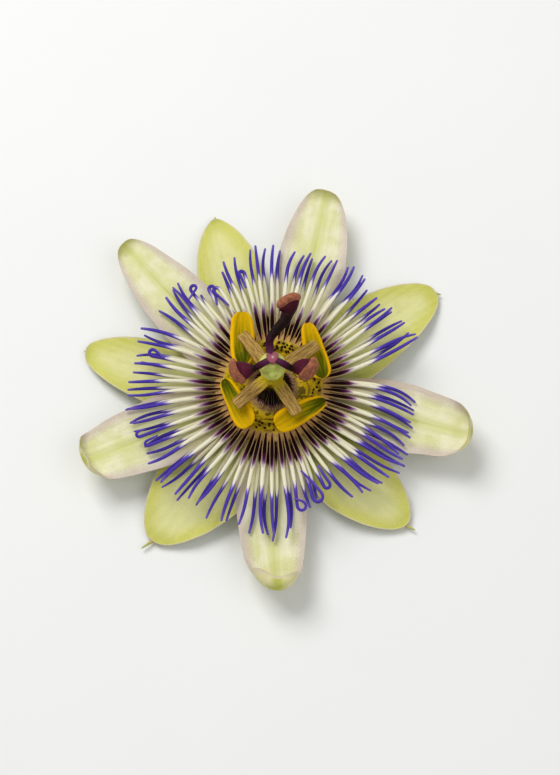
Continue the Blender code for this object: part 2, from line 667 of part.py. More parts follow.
def main():
    for leftover in list(bpy.data.objects):
        bpy.data.objects.remove(leftover)
    axis = bpy.data.objects.new("flower_axis", None)
    bpy.context.scene.collection.objects.link(axis)
    object_of("cup", cup_mesh(), "cup_green", axis)
    add_blades("sepal", SEPALS, "sepal_green", axis)
    add_blades("petal", PETALS, "petal_cream", axis)
    object_of("corona_lower", series_mesh("lower"), "corona_cream", axis)
    object_of("corona_upper", series_mesh("upper"), "corona_violet", axis)
    object_of("corona_short", short_corona_mesh(), "annulus_yellow", axis)
    object_of("operculum", operculum_mesh(), "operculum_purple", axis)
    object_of("column", column_mesh(), "column_olive", axis)
    add_anthers(axis)
    object_of("ovary", ovary_mesh(), "ovary_green", axis)
    object_of("styles", styles_mesh(), "style_purple", axis)
    centre_on_origin(axis)
    to_metres(axis)


main()
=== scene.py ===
"""The looks of the passion flower: every solid of the frame is replaced by a finer piece of
the same form, with its relief and colours.

Lengths are in millimetres about the flower's axis, as in the solids, until a mesh is made.
Heights count from the surface that the flower lies on. Angles are in degrees.
"""

import math
import random
from dataclasses import dataclass
from itertools import combinations, product

import bpy
import numpy as np
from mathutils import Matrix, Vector


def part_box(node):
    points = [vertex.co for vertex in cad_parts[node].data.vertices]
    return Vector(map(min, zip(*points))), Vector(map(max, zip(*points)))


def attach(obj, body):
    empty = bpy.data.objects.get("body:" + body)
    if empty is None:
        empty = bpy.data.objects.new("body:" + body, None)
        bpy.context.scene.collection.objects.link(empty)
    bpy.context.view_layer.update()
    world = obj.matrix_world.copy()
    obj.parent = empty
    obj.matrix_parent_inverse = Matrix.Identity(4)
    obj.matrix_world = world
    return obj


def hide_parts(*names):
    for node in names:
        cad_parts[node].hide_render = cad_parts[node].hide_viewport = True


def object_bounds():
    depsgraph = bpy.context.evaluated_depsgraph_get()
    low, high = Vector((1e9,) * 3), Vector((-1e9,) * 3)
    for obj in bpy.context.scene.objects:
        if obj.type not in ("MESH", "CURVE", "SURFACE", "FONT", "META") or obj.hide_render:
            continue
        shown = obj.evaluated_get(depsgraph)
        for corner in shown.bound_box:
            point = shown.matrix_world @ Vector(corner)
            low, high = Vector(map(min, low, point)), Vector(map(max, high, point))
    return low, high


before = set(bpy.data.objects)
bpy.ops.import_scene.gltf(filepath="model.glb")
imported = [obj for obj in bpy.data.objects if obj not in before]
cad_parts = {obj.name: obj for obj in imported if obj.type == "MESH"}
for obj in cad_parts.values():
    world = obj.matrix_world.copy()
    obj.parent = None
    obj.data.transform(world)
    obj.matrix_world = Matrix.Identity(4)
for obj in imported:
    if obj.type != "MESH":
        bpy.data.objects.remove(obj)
cad_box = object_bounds()

METRES_PER_MM = 0.001
CUP_LOW, CUP_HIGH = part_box("cup")
AXIS = Vector(((CUP_LOW.x + CUP_HIGH.x) / 2, (CUP_LOW.y + CUP_HIGH.y) / 2, CUP_LOW.z))

# --- the flower's dimensions, the same as the solids' --------------------------------------

GAP = 0.3
STALK_RADIUS = 2.2
CUP_RADIUS = 12
CUP_RIM_HEIGHT = 6.2
CUP_FLOOR_HEIGHT = 4.4
BLADE_BASE_RADIUS = CUP_RADIUS + GAP
BLADE_BASE_WIDTH = 12
SEPAL_BASE_HEIGHT = 4.9
PETAL_BASE_HEIGHT = 6.1
SEPAL_TIP_HEIGHT = 0.9
PETAL_TIP_HEIGHT = 6.4
BLADE_THICKNESS = 0.7
HOOD_RADIUS = 1.9
AWN_RADIUS = 0.42
FILAMENTS_PER_SERIES = 54
CORONA_RADIUS = 12.6
CORONA_RING_WIDTH = 1.9
FILAMENT_ROOT_RADIUS = 11.4
UPPER_SERIES_HEIGHT = 8.3
LOWER_SERIES_HEIGHT = 7
FILAMENT_STEPS = 120
FILAMENT_SEED = 11
COLUMN_RADIUS = 1.35
COLUMN_TOP = 16.6
STAMEN_WIDTH = 2.9
STAMEN_THICKNESS = 1
ANTHER_WIDTH = 5.8
ANTHER_THICKNESS = 2.3
OVARY_RADIUS = 3.1
OVARY_BOTTOM = COLUMN_TOP + GAP
OVARY_TOP = 24.8
SHARP_ANGLE = math.radians(60)   # between faces, beyond which an edge is sharp
CURVE_STEPS = 12                 # of a smooth curve between two of its points


@dataclass
class Blade:
    """A sepal or petal. Its plan outline is blunt where bluntness is high."""

    azimuth: float
    reach: float                 # radius of the outermost point
    width: float
    bluntness: float
    tip_length: float            # the stretch over which the outline narrows to the tip
    base_height: float
    tip_height: float
    lean: float = 0              # how far the tip swings sideways, in degrees
    cup: float = 1               # how far the sides rise
    hood: float = 60             # the angle that the tip curls up by
    awn: float = 0               # length past the tip of the spike on its back
    awn_turn: float = 0          # in plan, from the blade's own direction
    keel: float = 0
    droop_power: float = 1.5
    ruffle: float = 0.3          # how far the margins wave up and down
    fold_curve: float = 3.2      # how much earlier the hood starts at the sides
    slant: float = 0             # how much earlier it starts on the left than on the right
    flap: float = 0              # how far the tip goes on past the hood
    opening: float = 0           # how fast the hood opens towards the sides
    base_tone: float = 0.4       # how deep the painted shade at its base is, where the filaments shade it


def sepal(azimuth, reach, width, lean, bluntness, tip_length, awn, awn_turn, base_tone=0.4):
    return Blade(azimuth, reach, width, bluntness, tip_length, SEPAL_BASE_HEIGHT, SEPAL_TIP_HEIGHT,
                 lean=lean, cup=1.6, hood=45, awn=awn, awn_turn=awn_turn, keel=0.4,
                 droop_power=1.5, ruffle=0.28, base_tone=base_tone)


def petal(azimuth, reach, width, lean, bluntness, tip_length, hood, **tip):
    return Blade(azimuth, reach, width, bluntness, tip_length, PETAL_BASE_HEIGHT, PETAL_TIP_HEIGHT,
                 lean=lean, cup=0.7, hood=hood, droop_power=1.2, ruffle=0.35, **tip)


SEPALS = (
    sepal(33.6, 47.2, 20, 1.5, 2.2, 30, 1.5, -50, 0.8),
    sepal(110, 48.1, 15.7, -2.8, 1.68, 17.5, 0.8, -20),
    sepal(170.6, 45.4, 17.1, -5.4, 2.15, 23.8, 0.5, 0),
    sepal(235.1, 44.2, 22.1, -3, 1.86, 19.9, 3.1, -19, 0.8),
    sepal(309.3, 43.4, 17.4, 4.9, 1.7, 14.8, 2.4, 20, 1),
)
PETALS = (
    petal(72.8, 52.3, 16.3, 3.1, 2.65, 20, 55),
    petal(136.3, 51.2, 16.6, -2.5, 2.53, 30, 50),
    petal(201.6, 46.1, 17.5, 0.8, 3.5, 27.8, 130, fold_curve=4.5, slant=1, flap=0.4, opening=1.1),
    petal(268.8, 47.6, 16.2, 2.3, 2.6, 26, 160, fold_curve=8.5, slant=-0.3, flap=0.7, opening=0.25),
    petal(347.7, 46.5, 17, -1.6, 2.97, 21, 125, fold_curve=6.5, slant=0.6, flap=0.4, opening=0.8,
          base_tone=0.9),
)
SEPAL_SEED, PETAL_SEED = 0, 10

# The long filaments are combed aside in places, with partings where the shift jumps.
# Azimuth of the root, shift of the tip along the rim in degrees, radius of the tip.
COMBED = (
    (-11, -7, 33.8), (0, -11, 33.2), (7.4, -12, 33.2), (8.6, 9, 35.8),
    (14, 7.5, 35.6), (20, 4, 34.8), (29, 3, 34.9), (38, 0, 32.6),
    (45, 0, 32.8), (52, 0, 36.3), (62, 0.5, 35.4), (83, -0.5, 34.4),
    (98, -1, 36.2), (104, -0.5, 35.8), (110, 0, 32.8), (115, 0, 30.8),
    (121, 0, 27.5), (127, -1, 29), (131, -1.5, 34.8), (138, -3.8, 34.5),
    (146.4, -5.6, 33.4), (147.6, 3.5, 33.4),
    (154.5, 4.2, 33.6), (163, 4.8, 31.9), (171, 1, 32.2), (179, 0.5, 33.6),
    (187, 2, 33.9), (201, -0.8, 33.6), (212, -2.2, 32.4), (219, -1, 35),
    (233, -1.2, 34.6), (241, -3.2, 32.6), (247.6, -2.6, 35.4), (254, 0, 34.3),
    (260, 1.2, 35.6), (265, 3.4, 36.2), (270, 0.5, 36.5), (277, -2.4, 37),
    (285, -2, 30.5), (298.2, -1.5, 28.5), (299.4, 4.5, 32.4), (306, 5, 33.4),
    (314, 3.6, 34.4), (323, 1.5, 36), (331, -2.4, 34.8), (338, -4.4, 33.8),
    (349, -7, 33.8), (360, -11, 33.2),
)
# Filaments of the upper series whose outer part curls over: azimuth of the root, angle of
# the curl (positive is anticlockwise seen from above), radius from the flower's axis where
# it starts, radius of the bend and length of the straight end after it.
CURLS = (
    (103.3, 195, 28.6, 0.8, 3.5), (116.7, 200, 26.2, 1.15, 4), (123.3, -200, 27.6, 0.8, 4),
    (130, -245, 29.8, 0.95, 2.5), (163.3, -215, 28.4, 0.9, 2.5), (203.3, -175, 32.6, 0.7, 1.6),
    (210, -180, 31.6, 0.7, 2.6), (283.3, 240, 29.4, 1.3, 1.5), (290, 205, 28.4, 1.5, 6.5),
    (296.7, 195, 26.9, 0.9, 4.5),
)
CURL_RISE = 1.5                  # over a full turn, so that a loop clears itself

# Stamens: azimuth and reach of the filament, then its anther's middle in plan, direction
# and length, and how far the anther rolls to face the column.
STAMENS = (
    (36.1, 12.6, (9.6, 6.6), 104.4, 14, 8),
    (125, 12.2, (-6.9, 9.6), 92, 13, 0),
    (221.6, 11.2, (-8.1, -6), 117, 12.7, -22),
    (300.7, 11, (6.2, -8.3), 29, 12.8, 22),
)
# Styles: the points that each passes from the ovary's top to its stigma, with heights
# above the ovary's top, and the way its stigma faces.
STYLE_ROOT = (0.1, 0, 0.7)
STYLES = (
    (((-0.5, 1.7, 1.4), (-0.5, 4.2, 2.1), (1.2, 6.6, 2.3), (2.9, 8.9, 2.3), (4.1, 12.4, 3.2)),
     (-0.42, 0.8, 0.43)),
    (((-1.9, -1, 0.7), (-4.1, -1.9, -0.4), (-6.2, -1.9, -1.5), (-7.6, -2, -1.7)),
     (-0.86, -0.42, 0.12)),
    (((2.2, -1, 0.7), (4.3, -1.8, -0.4), (6.4, -1.2, -1.4), (7.9, -1.5, -1.5)),
     (0.72, -0.52, 0.38)),
)

# --- camera, in metres -----------------------------------------------------------------------

VIEW_ELEVATION = 69              # of the camera above the horizon, seen from the near side
VIEW_DISTANCE = 0.45
VIEW_HEIGHT = 0.17825            # what the frame's long side takes in at the flower
AIM_HEIGHT = 0.0089
AIM_RIGHT = 0.0017
AIM_UP = -0.00046
SENSOR_WIDTH = 36                # millimetres, along the frame's long side


def add_camera():
    """Looks down on the flower from 21 degrees off straight above."""
    elevation = math.radians(VIEW_ELEVATION)
    forward = Vector((0, math.cos(elevation), -math.sin(elevation)))
    up = Vector((0, math.sin(elevation), math.cos(elevation)))
    target = AXIS + Vector((AIM_RIGHT, 0, AIM_HEIGHT)) + up * AIM_UP
    lens = bpy.data.cameras.new("camera")
    lens.sensor_width = SENSOR_WIDTH
    lens.lens = SENSOR_WIDTH * VIEW_DISTANCE / VIEW_HEIGHT
    camera = bpy.data.objects.new("camera", lens)
    camera.location = target - forward * VIEW_DISTANCE
    camera.rotation_euler = forward.to_track_quat("-Z", "Y").to_euler()
    bpy.context.scene.collection.objects.link(camera)
    bpy.context.scene.camera = camera


# --- materials -------------------------------------------------------------------------------

def rgb(code):
    """A hex colour as the linear values that a shader takes."""
    parts = [int(code[i:i + 2], 16) / 255 for i in (0, 2, 4)]
    return (*[c / 12.92 if c <= 0.04045 else ((c + 0.055) / 1.055) ** 2.4 for c in parts], 1)


class Value:
    """What a node gives. A sum, difference or product of values is another node."""

    def __init__(self, shade, socket):
        self.shade, self.socket = shade, socket

    def __add__(self, other):
        return self.shade.maths("ADD", self, other)

    def __sub__(self, other):
        return self.shade.maths("SUBTRACT", self, other)

    def __mul__(self, other):
        return self.shade.maths("MULTIPLY", self, other)

    def __abs__(self):
        return self.shade.maths("ABSOLUTE", self)

    def between(self, low, high):
        """0 below low and 1 above high, smooth between them. Low may be the larger."""
        inputs = {"Value": self, "From Min": low, "From Max": high}
        return self.shade.add("MapRange", inputs, interpolation_type="SMOOTHSTEP")


class Shade:
    """A material's nodes. Its mesh's own values are had by name, as shade["along"]. The body
    is its colour so far, and each coat of paint lies over the ones before it."""

    def __init__(self, name, roughness, specular=0.2, subsurface=0, radius_mm=0.8):
        self.material = bpy.data.materials.new(name)
        self.material.use_nodes = True
        self.tree = self.material.node_tree
        self.shader = self.tree.nodes["Principled BSDF"].inputs
        finish = {"Roughness": roughness, "Specular IOR Level": specular,
                  "Subsurface Weight": subsurface, "Subsurface Radius": (1, 0.9, 0.5),
                  "Subsurface Scale": radius_mm * METRES_PER_MM}
        for name, value in finish.items():
            self.shader[name].default_value = value
        self.coordinates = self.add("TexCoord", {}, "Object")

    def add(self, kind, inputs, output=0, **settings):
        """Adds a node with these settings and inputs, where a text is a hex colour."""
        made = self.tree.nodes.new("ShaderNode" + kind)
        for name, setting in settings.items():
            setattr(made, name, setting)
        for name, value in inputs.items():
            if isinstance(value, Value):
                self.tree.links.new(value.socket, made.inputs[name])
            else:
                made.inputs[name].default_value = rgb(value) if isinstance(value, str) else value
        return Value(self, made.outputs[output])

    def __getitem__(self, name):
        return self.add("Attribute", {}, "Fac", attribute_name=name)

    def maths(self, operation, a, b=0, clamp=False):
        return self.add("Math", {0: a, 1: b}, operation=operation, use_clamp=clamp)

    def noise(self, scale, detail=2, roughness=0.5, place=None):
        """The scale is per millimetre of the piece, or per unit of a place that is given."""
        inputs = {"Vector": place or self.coordinates, "Scale": scale if place else scale / METRES_PER_MM,
                  "Detail": detail, "Roughness": roughness}
        return self.add("TexNoise", inputs, "Fac")

    def cells(self, per_mm):
        inputs = {"Vector": self.coordinates, "Scale": per_mm / METRES_PER_MM}
        return self.add("TexVoronoi", inputs, "Distance")

    def combined(self, x, y, z=0):
        return self.add("CombineXYZ", {"X": x, "Y": y, "Z": z})

    def streaks(self, x, y, detail=2):
        """Noise that is drawn out along the one of x and y that changes slowly."""
        return self.noise(1, detail, place=self.combined(x, y))

    def ramp(self, value, *stops):
        """A colour for each place along value, as (place, hex colour) pairs."""
        made = self.add("ValToRGB", {0: value}, "Color")
        elements = made.socket.node.color_ramp.elements
        for place, _ in stops[2:]:
            elements.new(place)
        for element, (place, colour) in zip(elements, stops):
            element.position = place
            element.color = rgb(colour)
        return made

    def mix(self, share, a, b, blend="MIX"):
        """Colour a, turning into b as share goes from 0 to 1."""
        return self.add("Mix", {0: share, 6: a, 7: b}, 2, data_type="RGBA", blend_type=blend)

    def prime(self, share, a, b):
        self.body = self.mix(share, a, b)

    def paint(self, share, colour, blend="MIX"):
        self.body = self.mix(share, self.body, colour, blend)

    def finish(self, relief=None, depth_mm=0):
        """The material with its body colour, and with this relief in millimetres."""
        self.tree.links.new(self.body.socket, self.shader["Base Color"])
        if relief:
            inputs = {"Height": relief, "Distance": depth_mm * METRES_PER_MM, "Strength": 1}
            self.tree.links.new(self.add("Bump", inputs).socket, self.shader["Normal"])
        return self.material


def petal_inside():
    """Cream, with a yellow-green midrib, lilac-grey margins, painted shade at the base and olive painted
    shade in the curled tip.
    """
    shade = Shade("petal_inside", 0.6, 0.12, subsurface=0.2, radius_mm=0.9)
    across, along = shade["across"], shade["along"]
    off_middle = abs(across)
    cloud = shade.noise(0.22, 3)
    grain = shade.noise(4.5, 2, 0.7)
    streak = shade.streaks(across * 14, along * 2.2)
    uneven = off_middle + cloud * 0.25
    rib = off_middle.between(0.06, 0) * along.between(0.9, 0.4)
    # Painted shade at the base, where the corona's filaments shade the petal.
    base = (along - uneven * 0.25).between(0.3, -0.05)
    freckle = grain.between(0.52, 0.66) * uneven.between(0.2, 1)
    # Painted shade, in olive, inside the curled tip.
    tip = (along + cloud * 0.06).between(0.93, 1.01)
    shade.prime(cloud.between(0.35, 0.65), "eeebc8", "dfdea4")
    shade.paint(streak.between(0.5, 0.75) * 0.3, "d4d492")
    shade.paint(uneven.between(0.46, 0.12) * 0.6, "ced078")
    shade.paint(rib * 0.55, "b4ba56")
    shade.paint(uneven.between(0.7, 1.1) * 0.85, "cfc0b6")
    shade.paint(base * shade["tone"], "a8967c")
    shade.paint(freckle * 0.4, "ab93a0")
    shade.paint(tip * 0.7, "a9a851")
    return shade.finish(shade.noise(1.4, 3) + grain * 0.4 + streak * 0.8, 0.1)


def petal_outside():
    """Greenish cream, with a green midrib and an olive tip that fades to its pinkish rim."""
    shade = Shade("petal_outside", 0.6, 0.12, subsurface=0.2, radius_mm=0.9)
    across, along = shade["across"], shade["along"]
    off_middle = abs(across)
    streak = shade.streaks(across * 16, along * 2)
    blotch = off_middle + shade.noise(0.6, 3) * 0.5
    olive = shade.mix(blotch.between(0.85, 0.35), "e0d9a2", "bdc05a")
    shade.prime(streak.between(0.35, 0.7), "e2e0bc", "c9cc92")
    shade.paint(off_middle.between(0.25, 0), "a9b25c")
    shade.paint(along.between(0.8, 0.9), olive)
    shade.paint(shade["margin"].between(0.9, 0.2) * 0.8, "dccfb6")
    return shade.finish(streak * 0.4 + shade.noise(1.6, 2), 0.1)


def sepal_inside():
    """Spongy, paler in the middle, with olive painted shade at the base and a yellow-green zone along a thin
    pale rim."""
    shade = Shade("sepal_inside", 0.65, 0.12, subsurface=0.15)
    along, margin = shade["along"], shade["margin"]
    cloud = shade.noise(0.2, 3)
    sponge = shade.noise(2.6, 3, 0.6)
    shade.prime((margin + cloud * 4).between(2.8, 7.4), "cecd66", "dedc98")
    shade.paint(sponge.between(0.42, 0.72) * 0.22, "ece8c0")
    shade.paint(cloud.between(0.5, 0.72) * 0.5, "c8c866")
    # Painted shade in olive at the base, where the filaments shade the sepal, as deep as the blade says.
    shade.paint((along + cloud * 0.2).between(0.55, 0.15) * shade["tone"], "7e8438")
    shade.paint(along.between(0.86, 1) * 0.35, "b4b84c")
    shade.paint(margin.between(0.5, 0.05) * 0.7, "d8c8b8")
    return shade.finish(sponge + shade.noise(0.6, 2), 0.1)


def sepal_outside():
    """Leaf green, darker along the keel and the veins."""
    shade = Shade("sepal_outside", 0.5, subsurface=0.1, radius_mm=0.6)
    across = shade["across"]
    vein = shade.streaks(across * 12, shade["along"] * 3)
    shade.prime(vein.between(0.35, 0.7), "a5b25c", "8a9c48")
    shade.paint(abs(across).between(0.22, 0), "6f8438")
    shade.paint(shade["margin"].between(1.2, 0.1), "ccd098")
    return shade.finish(vein + shade.noise(1.2, 2), 0.2)


def awn_straw():
    """Straw yellow, greener towards the tip."""
    shade = Shade("awn_straw", 0.55, subsurface=0.1, radius_mm=0.5)
    uneven = shade["along"] + shade.noise(2) * 0.3
    shade.body = shade.ramp(uneven, (0.3, "b9a24a"), (0.65, "c8ab4c"), (1, "b4bc74"))
    return shade.finish(shade.noise(3, 2), 0.1)


def cup_green():
    shade = Shade("cup_green", 0.45, subsurface=0.15)
    shade.prime(shade.noise(0.5, 3).between(0.35, 0.7), "a8b86a", "8ea050")
    return shade.finish(shade.noise(1.5, 3), 0.15)


def stalk_cut():
    shade = Shade("stalk_cut", 0.6, subsurface=0.2)
    pith = shade.cells(2.2)
    shade.prime(pith.between(0.2, 0.6), "dfe2b8", "b9c48a")
    return shade.finish(pith, 0.1)


def filament_shade(name, bands, flecks, dark):
    """Bands of colour that follow the millimetres along a filament, streaky where they meet
    and pointed on its middle. Flecks are the stretch that has fine streaks, and their colour.
    Dark is the same for the patch that the filaments marked as dark have."""
    shade = Shade(name, 0.6, 0.04, subsurface=0.1, radius_mm=0.4)
    along, strand, around = shade["along"], shade["strand"], shade["around"]
    on_strand = shade.combined(around * 1.4, along * 0.3, strand * 60)
    streaks = shade.noise(1.7, 3, 0.7, on_strand)
    fine = shade.noise(4.5, 2, 0.6, on_strand)
    side = around * around
    outer = along.between(13.6, 15.4)
    offset = (strand - 0.5) * (outer * 1.4 + 0.4)
    pointed = side * (outer * 3.4 - 1.5)
    place = (along + offset) + ((streaks - 0.5) * 3.6 + pointed)
    low, high = bands[0][0], bands[-1][0]
    share = shade.maths("DIVIDE", place - low, high - low, clamp=True)
    shade.body = shade.ramp(share, *[((at - low) / (high - low), colour) for at, colour in bands])
    first, last, colour = dark
    patch = place.between(first, first + 0.7) * place.between(last, last - 1.2)
    shade.paint(patch * shade["dark"], colour)
    wedge = side - along.between(12.2, 15.8) * 0.42
    flank = wedge.between(0.1, 0.34) * along.between(18.6, 16.8)
    ground = shade.mix(along.between(12.5, 16.5), "cda468", "dccb98")
    ground = shade.mix(streaks.between(0.5, 0.66) * 0.35, ground, "a4685c")
    shade.paint(flank * 0.92, ground)
    first, last, colour = flecks
    where = along.between(first, first + 1) * along.between(last, last - 1)
    shade.paint(fine.between(0.58, 0.74) * where, colour)
    # Painted shade on the round filament's sides.
    shade.paint(side.between(0.25, 1) * 0.2, "c8c098", "MULTIPLY")
    shade.paint(shade["tip"].between(2.4, 0.2) * 0.4, "8b78c6")
    return shade.finish(streaks + fine, 0.06)


# Colours by the millimetres from the axis.
UPPER_BANDS = ((11, "b2983c"), (11.3, "a88a48"), (11.7, "6e3c36"), (12.1, "1a0206"),
               (16, "180207"), (16.9, "380a22"), (17.8, "643062"), (18.7, "b59bb0"),
               (19.6, "ebe6ca"), (24, "f0ecd2"), (24.8, "b5a8cf"), (25.5, "5f4bb8"),
               (27.5, "4d3ba4"), (36, "5a47b4"))
LOWER_BANDS = ((11, "b2983c"), (12.4, "c09c58"), (14.4, "d0b47c"), (17, "dccca0"),
               (18.6, "f0eac6"), (21, "f6f2d0"), (24, "f2ecd0"),
               (24.8, "a497c6"), (25.5, "5644ae"), (27.5, "48389e"), (36, "5542ac"))
# The stretch that is flecked or dark, and its colour.
UPPER_FLECKS, UPPER_DARK = (16.8, 18.6, "8a5a88"), (13, 16.5, "180009")
LOWER_FLECKS, LOWER_DARK = (13.6, 19, "5c2846"), (12.9, 17.6, "2c0716")


def throat_yellow():
    """Olive yellow, then beige blushed with pink where the long filaments leave."""
    shade = Shade("throat_yellow", 0.6, 0.1, subsurface=0.05, radius_mm=0.4)
    mottle = shade.noise(0.7, 3)
    inner = shade.mix(mottle.between(0.4, 0.6), "ceb016", "92780c")
    outer = shade.mix(shade.noise(1.6, 2).between(0.42, 0.62), "bd9a54", "ad8658")
    shade.prime((shade["along"] + mottle).between(11.3, 12.6), inner, outer)
    return shade.finish(shade.noise(2, 3), 0.12)


def dot_purple():
    shade = Shade("dot_purple", 0.4, 0.15)
    shade.prime(shade.noise(2).between(0.4, 0.7), "120308", "260a18")
    return shade.finish()


def membrane():
    """Patches of olive and of bright yellow outside, beige where the fringe leaves it."""
    shade = Shade("membrane", 0.6, 0.1, subsurface=0.05, radius_mm=0.4)
    mottle = shade.noise(0.8, 3)
    uneven = shade["along"] + mottle
    outer = shade.mix(mottle.between(0.46, 0.56), "cdac10", "6a5a06")
    outer = shade.mix(uneven.between(8.6, 9.2), outer, "cdac12")
    shade.prime(uneven.between(6, 6.9), "9a7c4c", outer)
    return shade.finish(mottle, 0.15)


def fringe_purple():
    """Whitish lilac at the root, purple-black towards the column, some paler than others."""
    shade = Shade("fringe_purple", 0.6, 0.1)
    uneven = shade["along"] + (shade["strand"] - 0.5) * 0.12 + shade.noise(3) * 0.16
    shade.body = shade.ramp(uneven, (0.08, "a88e58"), (0.18, "c0a888"), (0.26, "94686c"),
                            (0.34, "3a1020"), (0.42, "1a040a"), (0.9, "120206"))
    return shade.finish()


def column_olive():
    """Olive brown, streaked along, with fine purple specks, and yellow-green at the middle."""
    shade = Shade("column_olive", 0.6, 0.15, subsurface=0.05, radius_mm=0.5)
    along = shade["along"]
    streak = shade.streaks(shade["across"] * 4.5, along * 0.35, 3)
    shade.prime(streak.between(0.32, 0.68), "d2ac60", "8c6a2a")
    shade.paint((along + streak * 2).between(6.6, 3.2), "ccb41c")
    shade.paint(shade.noise(4.2, 1).between(0.6, 0.68) * 0.65, "7c4048")
    return shade.finish(streak + shade.noise(3, 2), 0.2)


def anther_back():
    """Olive yellow, dark green towards one end, streaked along, with a golden rim."""
    shade = Shade("anther_back", 0.7, 0.05)
    across, along = shade["across"], shade["along"]
    streak = shade.streaks(across * 5.5, along * 1.1)
    inside = along * 0.42 + streak * 0.9
    edge = abs(across) + (streak - 0.5) * 0.25
    rim = shade.maths("MAXIMUM", edge.between(0.6, 0.82), shade["below"])
    shade.body = shade.ramp(inside, (0.1, "d2a806"), (0.36, "b89804"), (0.56, "8e8404"),
                            (0.72, "5c6002"), (0.88, "434800"))
    shade.paint(rim, "f0b804")
    return shade.finish(streak + shade.noise(2.5, 2), 0.2)


def pollen_gold():
    shade = Shade("pollen_gold", 0.8, 0.05)
    shade.prime(shade.noise(3, 2).between(0.35, 0.65), "f4c408", "e4ac04")
    return shade.finish(shade.cells(4), 0.1)


def ovary_green():
    shade = Shade("ovary_green", 0.4, subsurface=0.2)
    shade.prime(shade.noise(0.6, 2).between(0.4, 0.65), "d6de78", "b4b94e")
    return shade.finish(shade.noise(2, 2), 0.06)


def style_purple():
    """Spotted lilac purple at the star, a blackish neck, then dark wine with fine specks."""
    shade = Shade("style_purple", 0.55, 0.07)
    specks = shade.noise(2.4, 2, 0.7)
    shade.body = shade.ramp(shade["along"], (0.03, "8c6484"), (0.14, "582848"), (0.38, "3a0e24"),
                            (0.47, "140804"), (0.56, "180a04"), (0.62, "44101f"), (0.85, "52162a"),
                            (1, "380c18"))
    shade.paint(specks.between(0.56, 0.7) * 0.3, "743858")
    return shade.finish(specks, 0.03)


def stigma_brown():
    shade = Shade("stigma_brown", 0.75, subsurface=0.1, radius_mm=0.4)
    shade.prime(shade.noise(1.2, 3, 0.7).between(0.35, 0.68), "b06a4c", "7c4a32")
    return shade.finish(shade.noise(3.5, 3, 0.7), 0.2)


def star_pink():
    """Pink, with a pale smear over the middle."""
    shade = Shade("star_pink", 0.8, 0.08, subsurface=0.1)
    out = shade["along"] + shade.noise(1.6) * 0.7
    shade.body = shade.ramp(out, (0.42, "c4bb9a"), (0.58, "ac7a80"), (0.8, "9c5662"), (1, "985462"))
    return shade.finish(shade.noise(2.5, 2), 0.08)


def floor_white():
    shade = Shade("floor_white", 0.9)
    shade.prime(shade.noise(0.02, 2), "f4f4f2", "f1f1ef")
    return shade.finish()


# --- making meshes ----------------------------------------------------------------------------

def smooth(x):
    """0 below 0 and 1 above 1, smooth between them."""
    x = np.clip(x, 0, 1)
    return x * x * (3 - 2 * x)


def waves(draw, place, count, low, high):
    """A smooth random curve over place, between about -1 and 1."""
    total = np.zeros_like(place)
    for _ in range(count):
        total = total + np.sin(draw.uniform(low, high) * place + draw.uniform(0, math.tau))
    return total / count


def rotated(x, y, angle):
    """The two values turned by an angle in radians."""
    return x * np.cos(angle) - y * np.sin(angle), x * np.sin(angle) + y * np.cos(angle)


def turned(points, degrees):
    """The points turned about the flower's axis."""
    x, y, z = np.moveaxis(np.asarray(points, float), -1, 0)
    return np.stack([*rotated(x, y, math.radians(degrees)), z], axis=-1)


def ring_angles(sides, start=0):
    return math.tau * (np.arange(sides) + start) / sides


def grid_faces(rows, columns, flip=False, ring=True, loop=False):
    """The faces between the points of a grid. Ring joins its last column to the first, and
    loop its last row to the first."""
    faces = []
    for i in range(rows if loop else rows - 1):
        near, far = i * columns, (i + 1) % rows * columns
        for j in range(columns if ring else columns - 1):
            k = (j + 1) % columns
            faces.append((near + j, far + j, far + k, near + k))
    return [face[::-1] for face in faces] if flip else faces


